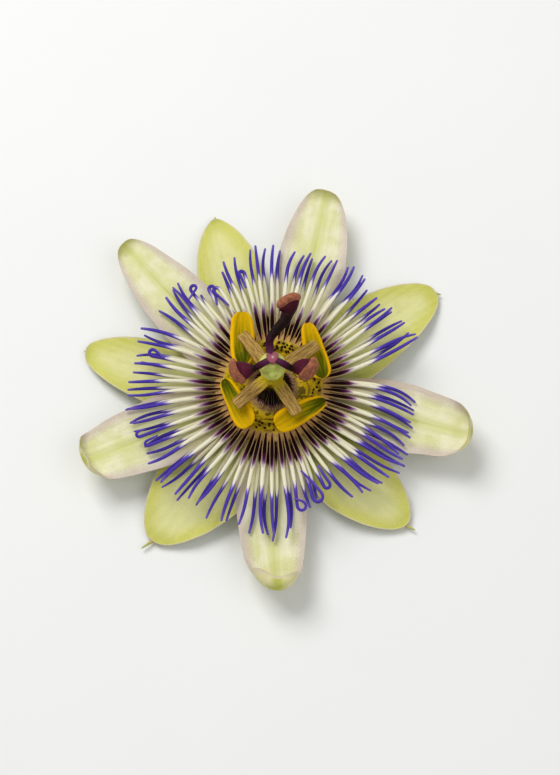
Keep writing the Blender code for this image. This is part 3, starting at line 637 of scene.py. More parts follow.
class Build:
    """Gathers points and faces, with a material and shading values for each."""

    def __init__(self):
        self.points, self.faces, self.face_materials, self.values = [], [], [], {}
        self.count = 0

    def join(self, faces, material=0):
        """Adds faces between points that are there."""
        self.faces += faces
        self.face_materials += [material] * len(faces)

    def add(self, points, faces, material=0, **values):
        """Adds points in millimetres about the axis, and faces as lists of their numbers."""
        points = np.asarray(points, float).reshape(-1, 3)
        self.join([[i + self.count for i in face] for face in faces], material)
        for name in {**self.values, **values}:
            kept = self.values.setdefault(name, [np.zeros(self.count)])
            given = np.asarray(values.get(name, 0), float).reshape(-1)
            kept.append(np.broadcast_to(given, len(points)))
        self.points.append(points)
        self.count += len(points)

    def add_rings(self, rings, material=0, flip=True, ends="closed", **values):
        """A skin over rings of points. Its ends are closed, open or joined to each other. A
        value is one number, or one for each ring, or a grid of them."""
        rows, sides = rings.shape[:2]
        faces = grid_faces(rows, sides, flip, loop=ends == "joined")
        if ends == "closed":
            caps = [range(sides), range((rows - 1) * sides, rows * sides)[::-1]]
            faces += caps if flip else [cap[::-1] for cap in caps]
        for name, value in values.items():
            by_ring = value if np.ndim(value) == 2 else np.reshape(value, (-1, 1))
            values[name] = np.broadcast_to(by_ring, (rows, sides))
        self.add(rings, faces, material, **values)

    def add_tube(self, path, widths, heights=None, sides=10, material=0, **values):
        """A closed tube, oval where its heights differ from its widths."""
        angles = ring_angles(sides)
        heights = widths if heights is None else heights
        x, y = np.outer(widths, np.cos(angles)) / 2, np.outer(heights, np.sin(angles)) / 2
        self.add_rings(rings_along(path, x, y), material, around=np.cos(angles)[None, :], **values)

    def add_lathe(self, profile, sides, material=0, wave=None, flip=False, ends="open", **values):
        """A profile of radii and heights, turned about the axis. Wave takes each angle, radius
        and height, and returns the new radius."""
        angles = ring_angles(sides)
        radius, height = (np.repeat(column[:, None], sides, axis=1) for column in np.transpose(profile))
        if wave:
            radius = wave(angles, radius, height)
        rings = np.stack([radius * np.cos(angles), radius * np.sin(angles), height], axis=-1)
        self.add_rings(rings, material, flip, ends, **values)

    def piece(self, name, materials, node):
        """The mesh as a piece of the flower that stands for this CAD node."""
        mesh = bpy.data.meshes.new(name)
        mesh.from_pydata(np.concatenate(self.points) * METRES_PER_MM, [], self.faces)
        for material in materials:
            mesh.materials.append(material)
        mesh.polygons.foreach_set("material_index", self.face_materials)
        for value_name, parts in self.values.items():
            attribute = mesh.attributes.new(value_name, "FLOAT", "POINT")
            attribute.data.foreach_set("value", np.concatenate(parts).astype(np.float32))
        mesh.shade_smooth()
        mesh.set_sharp_from_angle(angle=SHARP_ANGLE)
        made = bpy.data.objects.new(name, mesh)
        made.location = AXIS
        bpy.context.scene.collection.objects.link(made)
        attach(made, "root")
        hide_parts(node)


def frames_along(points):
    """At each point of a path: its direction, a sideways vector and the third one."""
    along = np.gradient(np.asarray(points, float), axis=0)
    along /= np.linalg.norm(along, axis=1)[:, None]
    side = np.cross(along[0], (0, 0, 1))
    sides = np.empty_like(along)
    for i, direction in enumerate(along):
        side = side - direction * (side @ direction)
        side = sides[i] = side / np.linalg.norm(side)
    return along, sides, np.cross(sides, along)


def rings_along(path, x, y):
    """Rings round a path, with x across it and y upwards for each of their points."""
    _, across, up = frames_along(path)
    return np.asarray(path)[:, None] + across[:, None] * x[..., None] + up[:, None] * y[..., None]


def smooth_curve(points, count):
    """Evenly spread points on a smooth curve (Catmull-Rom) through the given ones."""
    given = np.array(points, float)
    given = [given[0] * 2 - given[1], *given, given[-1] * 2 - given[-2]]
    t = np.arange(CURVE_STEPS)[:, None] / CURVE_STEPS
    fine = [0.5 * (2 * b + (c - a) * t + (2 * a - 5 * b + 4 * c - d) * t ** 2
                   + (3 * b - a - 3 * c + d) * t ** 3)
            for a, b, c, d in zip(given, given[1:], given[2:], given[3:])]
    fine = np.vstack([*fine, given[-2]])
    length = np.concatenate([[0], np.cumsum(np.linalg.norm(np.diff(fine, axis=0), axis=1))])
    wanted = np.linspace(0, length[-1], count)
    return np.column_stack([np.interp(wanted, length, column) for column in fine.T])


def rounded(points, count, top=0):
    """A rounded profile with this many points. The given heights count from top."""
    return smooth_curve([(radius, 0, top + height) for radius, height in points], count)[:, (0, 2)]


def add_blob(build, middle, axes, material, sides=10, rows=6):
    """An ellipsoid about the middle. The axes are its three half-axes."""
    rise = np.linspace(-math.pi / 2, math.pi / 2, rows + 1)[1:-1]
    unit = [(math.cos(r) * math.cos(a), math.cos(r) * math.sin(a), math.sin(r))
            for r in rise for a in ring_angles(sides)]
    low, last = len(unit), (rows - 2) * sides
    unit = np.array(unit + [(0, 0, -1), (0, 0, 1)])
    faces = grid_faces(rows - 1, sides, flip=True)
    for j in range(sides):
        k = (j + 1) % sides
        faces += [(low, k, j), (low + 1, last + j, last + k)]
    build.add(unit @ np.asarray(axes) + middle, faces, material)


# --- sepals and petals ------------------------------------------------------------------------

BLADE_CELLS_ALONG = 84
BLADE_CELLS_ACROSS = 48
MARGIN_THICKNESS = 0.22
MARGIN_WIDTH = 2.5               # over which a blade thins to its margin
RIB_WIDTH, RIB_DEPTH = 0.45, 0.16   # of the groove over the midrib
# The crease on each side: its place and width by the share of the way to the margin.
CREASE_PLACE, CREASE_WIDTH, CREASE_DEPTH = 0.42, 0.06, 0.06
SWELL_ACROSS, SWELL_ALONG = 0.05, 0.1   # heights of the low waves
HOOD_LEAD = 1.5                  # how far short of the hood the closer rows start
OPEN_HOOD = math.radians(88)     # the least that a curled tip is turned up by at its sides
AWN_WIDTHS = ((0, 0.5), (0.15, 1.1), (0.6, 0.9), (0.93, 0.55), (1, 0.1))
AWN_RINGS = 18


def blade_half_width(blade, radius, flat_tip):
    """Half the blade's width at a distance from the axis, laid flat."""
    towards_base = np.clip((flat_tip - radius) / blade.tip_length, 0, 1)
    tip = (1 - (1 - towards_base) ** 1.6) ** (1 / blade.bluntness)
    widest = flat_tip - blade.tip_length
    widening = smooth((radius - BLADE_BASE_RADIUS) / (widest - BLADE_BASE_RADIUS))
    return tip * (BLADE_BASE_WIDTH + (blade.width - BLADE_BASE_WIDTH) * widening) / 2


def blade_surface(blade, draw):
    """The upper face as a grid of points, with its shading values."""
    hood = math.radians(blade.hood)
    fold = blade.reach - HOOD_RADIUS * math.sin(min(hood, math.pi / 2))
    flat_tip = fold + HOOD_RADIUS * hood + blade.flap
    fold_start = fold - HOOD_LEAD
    tip_cells = BLADE_CELLS_ALONG // 2
    body = np.linspace(BLADE_BASE_RADIUS, fold_start, BLADE_CELLS_ALONG - tip_cells + 1)[:-1]
    spread = 1 - (1 - np.linspace(0, 1, tip_cells + 1)) ** 1.5
    radius = np.concatenate([body, fold_start + (flat_tip - 0.01 - fold_start) * spread])[:, None]
    across = np.linspace(-1, 1, BLADE_CELLS_ACROSS + 1)[None, :]
    across = np.sin(across * math.pi / 2) * 0.35 + across * 0.65
    half_width = blade_half_width(blade, radius, flat_tip)
    sideways = half_width * across
    off_middle = sideways / (blade.width / 2)
    out = (radius - BLADE_BASE_RADIUS) / (blade.reach - BLADE_BASE_RADIUS)

    drop = blade.base_height - blade.tip_height
    height = blade.base_height - drop * np.clip(out, 0, 1.1) ** blade.droop_power
    height = height + blade.cup * off_middle ** 2 * smooth((out - 0.35) / 0.5)
    edge = np.abs(across) ** 3 * smooth(out / 0.25) * smooth((flat_tip - radius) / 7)
    left, right = waves(draw, radius, 3, 0.18, 0.75), waves(draw, radius, 3, 0.18, 0.75)
    rib = np.exp(-(sideways / RIB_WIDTH) ** 2) * smooth((0.98 - out) / 0.4)
    crease = np.exp(-((np.abs(across) - CREASE_PLACE) / CREASE_WIDTH) ** 2) * smooth((0.9 - out) / 0.4)
    height = height + blade.ruffle * edge * np.where(across < 0, left, right)
    height = height - RIB_DEPTH * rib - CREASE_DEPTH * crease
    height = height + SWELL_ACROSS * waves(draw, sideways * 2.2 + radius * 0.05, 2, 1, 2)
    swell = waves(draw, radius * 0.9 + sideways * 0.3, 3, 0.3, 1.2)
    height = height + SWELL_ALONG * swell * smooth(out / 0.2)

    fold = fold - blade.fold_curve * off_middle ** 2 - blade.slant * off_middle
    hood = np.maximum(hood * (1 - blade.opening * np.abs(off_middle)), min(hood, OPEN_HOOD))
    turn = np.clip((radius - fold) / HOOD_RADIUS, 0, hood)
    past = np.maximum(radius - fold - HOOD_RADIUS * hood, 0)
    folded = radius > fold
    x = np.where(folded, fold + HOOD_RADIUS * np.sin(turn) + past * np.cos(hood), radius)
    height = height + np.where(folded, HOOD_RADIUS * (1 - np.cos(turn)) + past * np.sin(hood), 0)

    swing = blade.reach * math.sin(math.radians(blade.lean)) * np.clip(out, 0, 1.05) ** 2
    near = np.minimum(np.abs(sideways), 0.65 * BLADE_BASE_RADIUS)
    round_base = np.sqrt(BLADE_BASE_RADIUS ** 2 - near ** 2) - BLADE_BASE_RADIUS
    x = x + round_base * (1 - smooth(out / 0.3))
    margin = np.minimum(half_width * (1 - np.abs(across)), flat_tip - radius)
    along = (radius - BLADE_BASE_RADIUS) / (flat_tip - BLADE_BASE_RADIUS)
    # The depth of the base's painted shade goes to the materials with the other values.
    values = {"across": across, "along": along, "margin": margin, "tone": blade.base_tone}
    values = {name: np.broadcast_to(value, height.shape) for name, value in values.items()}
    return np.stack([x, sideways + swing, height], axis=-1), values


def add_blades(kind, blades, materials, seed):
    """Thin blades with a groove along their midribs and waved margins, thinner at the rim."""
    for number, blade in enumerate(blades, 1):
        upper, values = blade_surface(blade, random.Random(seed + number))
        normals = np.cross(np.gradient(upper, axis=0), np.gradient(upper, axis=1))
        normals /= np.linalg.norm(normals, axis=-1)[..., None]
        inward = smooth(values["margin"] / MARGIN_WIDTH)
        keel = blade.keel * np.clip(1 - 3 * np.abs(values["across"]), 0, 1)
        depth = MARGIN_THICKNESS + (BLADE_THICKNESS - MARGIN_THICKNESS + keel) * inward
        lower = upper - normals * depth[..., None]
        rows, columns = depth.shape
        build = Build()
        build.add(turned(upper, blade.azimuth), grid_faces(rows, columns, ring=False), 0, **values)
        build.add(turned(lower, blade.azimuth), grid_faces(rows, columns, flip=True, ring=False), 1, **values)
        numbers = np.arange(rows * columns).reshape(rows, columns)
        rim = [numbers[:, 0], numbers[-1, 1:], numbers[-2::-1, -1], numbers[0, -2:0:-1]]
        rim = np.concatenate(rim).tolist()
        under = rows * columns
        build.join([(a, a + under, b + under, b) for a, b in zip(rim, rim[1:] + rim[:1])])
        if blade.awn:
            add_awn(build, blade)
        build.piece(f"{kind}_skin_{number}", materials, f"{kind}_{number}")


def add_awn(build, blade):
    """The curved spike on the back of a sepal, just short of its tip."""
    swing = blade.reach * math.sin(math.radians(blade.lean))
    height = SEPAL_TIP_HEIGHT - BLADE_THICKNESS + AWN_RADIUS
    turn = math.radians(blade.awn_turn)
    knee, length = blade.reach - 0.6, blade.awn + 0.6
    spots = [(-2.6, 0, -0.2), (-0.8, 0, -0.05)]
    spots += [(reach * length * math.cos(turn), reach * length * math.sin(turn), rise)
              for reach, rise in ((0.3, 0.22), (1, 0.35))]
    path = smooth_curve([(knee + x, swing + y, height + z) for x, y, z in spots], AWN_RINGS)
    share = np.linspace(0, 1, AWN_RINGS)
    widths = 2 * AWN_RADIUS * np.interp(share, *zip(*AWN_WIDTHS))
    build.add_tube(turned(path, blade.azimuth), widths, material=2, along=share)


# --- cup and coronas --------------------------------------------------------------------------

# Profiles, as radii and heights.
CUP_PROFILE = ((STALK_RADIUS - 0.1, 0.02), (STALK_RADIUS, 0.15), (STALK_RADIUS + 0.1, 0.8), (3.4, 1.35),
               (5.4, 1.9), (8.6, 3), (CUP_RADIUS - 0.5, 4.3), (CUP_RADIUS, 5.1),
               (CUP_RADIUS, CUP_RIM_HEIGHT - 0.1), (CUP_RADIUS - 0.4, CUP_RIM_HEIGHT),
               (CUP_RADIUS - 1, CUP_RIM_HEIGHT - 0.1), (CUP_RADIUS - 2, 5.2), (8, 4.5),
               (0.01, CUP_FLOOR_HEIGHT))
STALK_END = ((STALK_RADIUS - 0.1, 0.02), (STALK_RADIUS - 0.5, 0), (1.2, 0.06), (0.5, 0), (0.01, 0.03))
LOBE_DEPTH = 0.22


def add_cup(green, cut):
    """The cut stalk and the saucer, with five low lobes where the sepals join it."""
    def lobed(angle, radius, height):
        lobes = LOBE_DEPTH * np.cos(5 * (angle - math.radians(SEPALS[0].azimuth)))
        below = (height < CUP_RIM_HEIGHT - 0.4) & (radius > 3)
        fading = smooth((radius - 3) / 5) * smooth((CUP_RADIUS - radius) / 2)
        return radius + np.where(below, lobes * fading, 0)

    build = Build()
    build.add_lathe(rounded(CUP_PROFILE, 56), 96, wave=lobed)
    build.add_lathe(rounded(STALK_END, 14)[::-1], 96, material=1)
    build.piece("cup_skin", [green, cut], "cup")


RING_SPACING = 0.6               # between the rings of a straight filament
RING_TURN = math.radians(9)      # between the rings of a bend
TIP_LENGTH = 0.38
TIP_RINGS = (0.72, 0.48, 0.28, 0.12, 0.03, 0)
TIP_BEND = 14                    # the most that an uncurled filament's end turns aside
# Thickness by distance from the axis: slim at the root, stout in the dark band, then finer.
FILAMENT_WIDTHS = ((11, 0.8), (12.3, 0.9), (13.2, 1.05), (14.4, 1.18), (16.2, 1.16), (18, 1.04),
                   (21, 0.96), (25, 0.92), (28, 0.84), (34, 0.74), (38, 0.68))
FLATNESS = 0.9                   # a filament's height by its width
LOWER_SHARE = 0.94               # a lower filament's thickness by an upper one's
TAPER_LENGTH = 5                 # the stretch over which the end thins
TAPER = 0.75                     # to this share of its thickness
# Where the lower series is as dark as the upper one, in degrees, and how many of its other
# filaments have a dark patch.
DARK_FROM, DARK_TO = 252, 292
DARK_SHARE = 0.3
# By azimuth, the radius where the filaments' dark band ends and where their violet starts.
DARK_ENDS = ((0, 16.8), (45, 16.5), (90, 16.7), (135, 16.4), (180, 15.7), (230, 15.8),
             (250, 17.4), (275, 18.5), (300, 17.2), (330, 17.5), (360, 16.8))
VIOLET_STARTS = ((0, 24.3), (20, 26.5), (40, 27.2), (55, 27.2), (75, 27.6), (92, 27.3),
                 (105, 27.2), (120, 26.8), (133, 27.3), (150, 25.6), (165, 26.6), (180, 26.4),
                 (200, 25.8), (227, 25.5), (246, 26.2), (273, 27.2), (290, 25.2),
                 (306, 24.6), (322, 25.4), (341, 24.6), (360, 24.3))
# Distances in the tables of colours. The third and fourth move to the radii above.
BAND_PLACES = (11, 13.5, 16.2, 24.8, 38)
# The ring that a series grows from, as steps out from its inner radius and up from its height.
RING_PROFILE = ((0, -0.45), (2.1, -0.5), (2.7, -0.4), (2.6, -0.18), (1.9, 0.12), (1.1, 0.32), (0.5, 0.42),
                (0.1, 0.3), (0, 0))


def bent(path, bending):
    """The path with its steps turned by these angles in plan, keeping its length."""
    steps = np.column_stack(rotated(*np.diff(path, axis=0).T, bending[1:]))
    return np.concatenate([path[:1], path[0] + np.cumsum(steps, axis=0)])


def filament_paths(upper):
    """The azimuth and the centre line, root to tip, of each long filament of one series."""
    draw = random.Random(FILAMENT_SEED + upper)
    pitch = 360 / FILAMENTS_PER_SERIES
    combed_at, combed_by, combed_to = zip(*COMBED)
    share = np.linspace(0, 1, FILAMENT_STEPS + 1)
    for number in range(FILAMENTS_PER_SERIES):
        azimuth = (number + (0.5 if upper else 0)) * pitch
        wave = draw.uniform(-0.9, 0.9)
        lift = draw.uniform(0, 0.9) if upper else draw.uniform(-0.25, 0.1)
        shift = float(np.interp(azimuth, combed_at, combed_by)) + draw.uniform(-1.2, 1.2)
        reach = float(np.interp(azimuth, combed_at, combed_to)) + draw.uniform(-0.8, 0.5)
        turn, bend_from, bend_to = draw.uniform(-TIP_BEND, TIP_BEND), 0.7, 1
        start = azimuth + draw.uniform(-0.7, 0.7)
        curl = [curl for at, *curl in CURLS if upper and abs(at - azimuth) < pitch / 2]
        if curl:
            turn, bend_start, bend_radius, straight_end = curl[0]
            bend_end = bend_start + math.radians(abs(turn)) * bend_radius
            reach = bend_end + straight_end
            bend_from, bend_to = ((place - FILAMENT_ROOT_RADIUS) / (reach - FILAMENT_ROOT_RADIUS)
                                  for place in (bend_start, bend_end))
        angle = np.radians(start + shift * share ** 1.4 + wave * np.sin(math.tau * share) * share)
        radius = FILAMENT_ROOT_RADIUS + (reach - FILAMENT_ROOT_RADIUS) * share
        bending = np.radians(turn) * smooth((share - bend_from) / (bend_to - bend_from))
        flat = bent(np.column_stack([radius * np.cos(angle), radius * np.sin(angle)]), bending)
        base = UPPER_SERIES_HEIGHT if upper else LOWER_SERIES_HEIGHT
        height = base + (0.9 + lift) * smooth(share / 0.6) - 0.5 * share ** 3
        if curl:
            height = height + CURL_RISE * np.abs(bending) / math.tau
        yield azimuth, np.column_stack([flat, height])


def filament_rings(path):
    """The filament's points where its rings go, with their distances from the axis and from
    the tip along it. They stand closer in bends and at the tip, which is round."""
    steps = np.diff(path, axis=0)
    step_lengths = np.linalg.norm(steps, axis=1)
    heading = np.unwrap(np.arctan2(steps[:, 1], steps[:, 0]))
    efforts = step_lengths / RING_SPACING + np.abs(np.gradient(heading)) / RING_TURN
    length, effort = (np.concatenate([[0], np.cumsum(parts)]) for parts in (step_lengths, efforts))
    body_end = float(np.interp(length[-1] - TIP_LENGTH, length, effort))
    places = np.interp(np.linspace(0, body_end, round(body_end) + 1), effort, length)
    places = np.concatenate([places, length[-1] - TIP_LENGTH * np.array(TIP_RINGS)])
    points = np.column_stack([np.interp(places, length, column) for column in path.T])
    return points, FILAMENT_ROOT_RADIUS + places, length[-1] - places


def add_corona(series, filament, ring):
    """The ring on the cup's rim and the round filaments of one series."""
    upper = series == "upper"
    height = UPPER_SERIES_HEIGHT if upper else LOWER_SERIES_HEIGHT
    inner = CORONA_RADIUS - CORONA_RING_WIDTH
    profile = rounded([(inner + out, rise) for out, rise in RING_PROFILE], 32, top=height)
    build = Build()
    build.add_lathe(profile, 216, material=1, ends="joined", along=profile[:, 0])
    draw = random.Random(FILAMENT_SEED + 20 + upper)
    for azimuth, path in filament_paths(upper):
        points, along, left = filament_rings(path)
        stout = draw.uniform(0.93, 1.07) * (1 if upper else LOWER_SHARE)
        dark = DARK_FROM < azimuth < DARK_TO or draw.random() < DARK_SHARE
        places = list(BAND_PLACES)
        places[2:4] = (np.interp(azimuth, *zip(*table)) for table in (DARK_ENDS, VIOLET_STARTS))
        widths = stout * np.interp(along, *zip(*FILAMENT_WIDTHS))
        widths = widths * (TAPER + (1 - TAPER) * smooth(left / TAPER_LENGTH) ** 0.7)
        widths = widths * np.sqrt(1 - (1 - np.clip(left / TIP_LENGTH, 0, 1)) ** 2 + 0.01)
        build.add_tube(points, widths, widths * FLATNESS, sides=12, tip=left, strand=draw.random(),
                       along=np.interp(along, places, BAND_PLACES), dark=float(dark))
    build.piece(f"filaments_{series}", [filament, ring], f"corona_{series}")


DOT_RADII = (9.35, 10, 10.7)
DOTS_PER_ROW = 66
DOT_SEED = 5
# From the outer edge of the short corona's ring to its inner edge: steps out from the nearer
# edge and up from its top.
OUTER_BROW = ((0.75, 0.3), (0.3, 0.36), (-0.8, 0.12))
INNER_BROW = ((0.6, -0.15), (0, -0.55), (-0.45, -0.72))


def add_short_corona(yellow, purple):
    """The yellow ring inside the long filaments. Its dark-headed short filaments stand in
    clusters, in three uneven rows."""
    foot, top = CUP_RIM_HEIGHT + GAP, CUP_RIM_HEIGHT + 2.3
    outer = CORONA_RADIUS - CORONA_RING_WIDTH - GAP
    inner = outer - 1.8
    surface = [(edge + out, top + rise) for edge, brow in ((outer, OUTER_BROW), (inner, INNER_BROW))
               for out, rise in brow]
    profile = [(inner + 0.3, foot), (outer, foot), (outer, top - 0.1), *surface, (inner + 0.1, top - 1.1)]
    profile = rounded(profile, 40)
    build = Build()
    build.add_lathe(profile, 180, ends="joined", along=profile[:, 0])
    draw = random.Random(DOT_SEED)
    for row, radius in enumerate(DOT_RADII):
        for number in range(DOTS_PER_ROW):
            azimuth = (number + row / 2 + draw.uniform(-0.3, 0.3)) * 360 / DOTS_PER_ROW
            crowd = 0.5 + 0.5 * math.sin(math.radians(azimuth * 5 + 40 * row))
            if draw.random() > 0.5 + 0.4 * crowd:
                continue
            at = radius + draw.uniform(-0.22, 0.22)
            height = float(np.interp(at, *zip(*surface[::-1])))
            long, wide = draw.uniform(0.28, 0.46), draw.uniform(0.22, 0.31)
            swing = draw.uniform(-0.9, 0.9)
            axes = [(*rotated(wide, 0, swing), 0), (*rotated(0, long, swing), 0), (0, 0, 0.3)]
            add_blob(build, turned([at, 0, height + 0.08], azimuth), turned(axes, azimuth), 1)
    build.piece("knobs", [yellow, purple], "corona_short")


FRINGE_COUNT = 56
FRINGE_SEED = 7
# The membrane's section, with heights from its foot: the folded roof, its underside, the wall.
MEMBRANE_PROFILE = ((8.4, 2.85), (8.1, 3.02), (7.6, 2.72), (7, 2.35), (6.4, 2.22), (5.8, 2.3), (5.2, 2.6),
                    (4.6, 2.9), (4.2, 2.85), (3.9, 2.4), (4.4, 1.5), (6.8, 1.4), (7.2, 0), (7.9, 0),
                    (8.4, 2.5))
PLEAT_DEPTH = 0.1
# A strand of the fringe, as radii and heights, and its thickness by the share of its length.
STRAND = ((5.3, 7.2), (4.8, 7.75), (4.2, 8.4), (3.4, 9.4), (2.6, 10.6), (1.95, 11.7))
STRAND_WIDTHS = ((0, 0.24), (0.3, 0.34), (0.8, 0.26), (1, 0.1))
STRAND_RINGS = 16


def add_operculum(yellow, fringe):
    """The membrane that roofs the cup, folded a little, and its fringe leaning on the column."""
    def pleated(angle, radius, height):
        return radius + PLEAT_DEPTH * np.sin(FRINGE_COUNT / 2 * angle) * smooth((7.5 - radius) / 2)

    profile = np.array(MEMBRANE_PROFILE) + (0, CUP_FLOOR_HEIGHT + GAP)
    build = Build()
    build.add_lathe(profile, 224, wave=pleated, ends="joined", along=profile[:, 0])
    draw = random.Random(FRINGE_SEED)
    share = np.linspace(0, 1, STRAND_RINGS)
    for number in range(FRINGE_COUNT):
        angle = math.tau * (number + draw.uniform(-0.2, 0.2)) / FRINGE_COUNT
        shifts = np.array([draw.uniform(-0.2, 0.3)] * 2 + [0] * (len(STRAND) - 2))
        radii, heights = np.transpose(STRAND)
        path = smooth_curve(np.column_stack([*rotated(radii + shifts, 0, angle), heights]), STRAND_RINGS)
        widths = np.interp(share, *zip(*STRAND_WIDTHS)) * draw.uniform(0.85, 1.1)
        build.add_tube(path, widths, sides=7, material=1, along=share, strand=draw.random())
    build.piece("membrane_and_fringe", [yellow, fringe], "operculum")


# --- column, stamens, ovary and styles --------------------------------------------------------

COLUMN_SIDES = 40
STRAP_RINGS = 30
STRAP_SIDES = 28
STRAP_RIDGE = 0.22               # how high its ridges stand, by half its thickness
# A strap's width and thickness, by the share of the way along.
STRAP_WIDTHS = ((0, 0.75), (0.2, 1), (0.4, 1.1), (0.6, 1.07), (0.93, 1), (0.98, 0.96), (1, 0.84))
STRAP_HEIGHTS = ((0, 1.2), (0.2, 1.2), (0.4, 1), (0.93, 1), (1, 0.75))


def stamen_path(azimuth, reach, count):
    """From inside the column's head out and slightly down to where the anther hangs."""
    spots = ((0.4, 0, -0.9), (2.6, 0, -0.6), (6, 0, -0.4), (reach, 0, -0.8))
    return smooth_curve(turned(spots, azimuth) + (0, 0, COLUMN_TOP), count)


def add_column(olive):
    """The shaft, its flared head and the four flat filaments, which are straps with ridges
    along their backs and square ends."""
    foot = CUP_FLOOR_HEIGHT + GAP
    shaft = rounded([(0.01, foot), (1.9, foot + 0.05), (COLUMN_RADIUS, foot + 1.3), (COLUMN_RADIUS, 9),
                     (COLUMN_RADIUS, COLUMN_TOP - 3.4), (1.8, COLUMN_TOP - 2), (2.5, COLUMN_TOP - 1),
                     (2.35, COLUMN_TOP - 0.05), (0.01, COLUMN_TOP)], 40)
    build = Build()
    build.add_lathe(shaft, COLUMN_SIDES, along=1)
    share = np.linspace(0, 1, STRAP_RINGS)
    widths = STAMEN_WIDTH * np.interp(share, *zip(*STRAP_WIDTHS))
    heights = STAMEN_THICKNESS * np.interp(share, *zip(*STRAP_HEIGHTS))
    cosine, sine = (wave(ring_angles(STRAP_SIDES, 0.5)) for wave in (np.cos, np.sin))
    x = np.sign(cosine) * np.abs(cosine) ** 0.75
    ridges = np.where(sine > 0.1, STRAP_RIDGE * np.cos(4.5 * math.pi * x), 0)
    y = np.sign(sine) * np.abs(sine) ** 0.6 + ridges
    for azimuth, reach, *_ in STAMENS:
        path = stamen_path(azimuth, reach, STRAP_RINGS)
        rings = rings_along(path, np.outer(widths, x) / 2, np.outer(heights, y) / 2)
        build.add_rings(rings, along=np.linalg.norm(path[:, :2], axis=1), across=x[None, :])
    build.piece("column_and_straps", [olive], "column")


def grain():
    """The points and faces of an icosahedron of radius 1."""
    golden = (1 + 5 ** 0.5) / 2
    signs = list(product((-1, 1), repeat=2))
    points = np.array([(s, t * golden, 0) for s, t in signs] + [(0, s, t * golden) for s, t in signs]
                      + [(t * golden, 0, s) for s, t in signs], float)
    points /= np.linalg.norm(points[0])
    side = 1.01 * min(np.linalg.norm(points[0] - point) for point in points[1:])
    faces = []
    for i, j, k in combinations(range(len(points)), 3):
        a, b, c = points[i], points[j], points[k]
        if max(np.linalg.norm(edge) for edge in (a - b, b - c, a - c)) < side:
            faces.append((i, j, k) if np.cross(b - a, c - a) @ (a + b + c) > 0 else (i, k, j))
    return points, faces


ANTHER_RINGS = 61
ANTHER_SIDES = 56
ANTHER_SEED = 40
HOLLOW_DEPTH = 0.95
RIDGE_HEIGHT = 0.13
ANTHER_BEND = 0.48               # how far the ends bend up
GRAINS = 420
GRAIN_POINTS, GRAIN_FACES = grain()
# How much narrower each pollen sac is at its far end, and the end that is green: 1 is the
# far one.
ANTHER_SHAPES = ((0.28, -1), (0.06, -1), (0.34, 1), (0.3, 1))


def add_anther(number, azimuth, reach, middle, direction, length, roll, back, gold):
    """A long pollen sac. Its back is hollow, with ridges, inside a thick rim that is grainy
    with pollen. It is greener towards one end."""
    draw = random.Random(ANTHER_SEED + number)
    taper, green_end = ANTHER_SHAPES[number - 1]
    stations = np.sin(np.linspace(-1, 1, ANTHER_RINGS) * math.pi / 2)[:, None]
    angles = ring_angles(ANTHER_SIDES, 0.5)
    full = 0.16 + 0.84 * np.sqrt(np.clip(1 - np.abs(stations) ** 4, 0, 1))
    lump = 1 + 0.03 * waves(draw, stations * 6, 3, 0.6, 2.5)
    narrowed = full * (1 - taper * smooth((stations + 1) / 2)) * lump
    side = np.cos(angles) * np.ones_like(full)
    on_back = full * np.clip(np.sin(angles), 0, 1) ** 0.5
    hollow = HOLLOW_DEPTH * np.exp(-(side / 0.62) ** 4) * on_back
    ridges = RIDGE_HEIGHT * np.cos(side * 13) * np.exp(-(side / 0.7) ** 4) * on_back
    x = stations * length / 2 + 0 * side
    y = side * ANTHER_WIDTH / 2 * narrowed
    z = np.sin(angles) * ANTHER_THICKNESS / 2 * full - hollow + ridges + ANTHER_BEND * stations ** 2
    y, z = rotated(y, z, math.radians(roll))
    x, y = rotated(x, y, math.radians(direction))
    strap_underside = stamen_path(azimuth, reach, 6)[-1][2] - STAMEN_THICKNESS / 2
    sunk = abs(math.sin(math.radians(roll))) * STAMEN_WIDTH / 2
    height = strap_underside - GAP - sunk - ANTHER_THICKNESS / 2
    rings = np.stack([x + middle[0], y + middle[1], z + height], axis=-1)
    build = Build()
    build.add_rings(rings, along=stations * green_end, across=side, below=np.sin(angles)[None, :] < 0)
    for _ in range(GRAINS):
        i, j = draw.randrange(2, ANTHER_RINGS - 2), draw.randrange(ANTHER_SIDES)
        if math.sin(angles[j]) > 0 and abs(side[i, j]) < 0.7 and draw.random() < 0.9:
            continue
        build.add(rings[i, j] + GRAIN_POINTS * draw.uniform(0.05, 0.1), GRAIN_FACES, 1)
    build.piece(f"pollen_sac_{number}", [back, gold], f"anther_{number}")


OVARY_LOBES, OVARY_SEAMS = 0.03, 0.02   # how far they stand out and in, by its radius


def add_ovary(green):
    """An egg with three faint lobes and a seam between each two."""
    def lobed(angle, radius, height):
        lobes = 1 + OVARY_LOBES * np.cos(3 * angle - math.pi / 2)
        off_seam = np.mod(3 * angle + math.pi / 2, math.tau) - math.pi
        return radius * lobes * (1 - OVARY_SEAMS * np.exp(-(off_seam / 0.25) ** 2))

    levels = np.linspace(0, 1, 40)
    radii = OVARY_RADIUS * np.sin(math.pi * (0.02 + 0.93 * levels)) ** 0.62
    profile = np.column_stack([radii, OVARY_BOTTOM + (OVARY_TOP - OVARY_BOTTOM) * levels])
    build = Build()
    build.add_lathe(profile, 72, wave=lobed, flip=True, ends="closed")
    build.piece("ovary_skin", [green], "ovary")


# The star on the ovary's top, with heights from it.
STAR_PROFILE = ((0.01, 1.86), (0.4, 1.85), (0.8, 1.88), (1.14, 1.8), (1.22, 1.5), (1, 0.7),
                (1, 0.2), (0.6, 0.05))
STAR_POINT = 0.22                # how far its three points stand out, as a share of its radius
FAN_SHARE = 0.92                 # of the stigma's length and width
STYLE_RINGS, STYLE_SIDES = 52, 28
STIGMA_RINGS, STIGMA_SIDES = 33, 36
STIGMA_RISE = 0.9                # of its middle over the end of its style
DIMPLE_WIDTH, DIMPLE_DEPTH = 1.7, 0.22
STYLE_SEED = 9


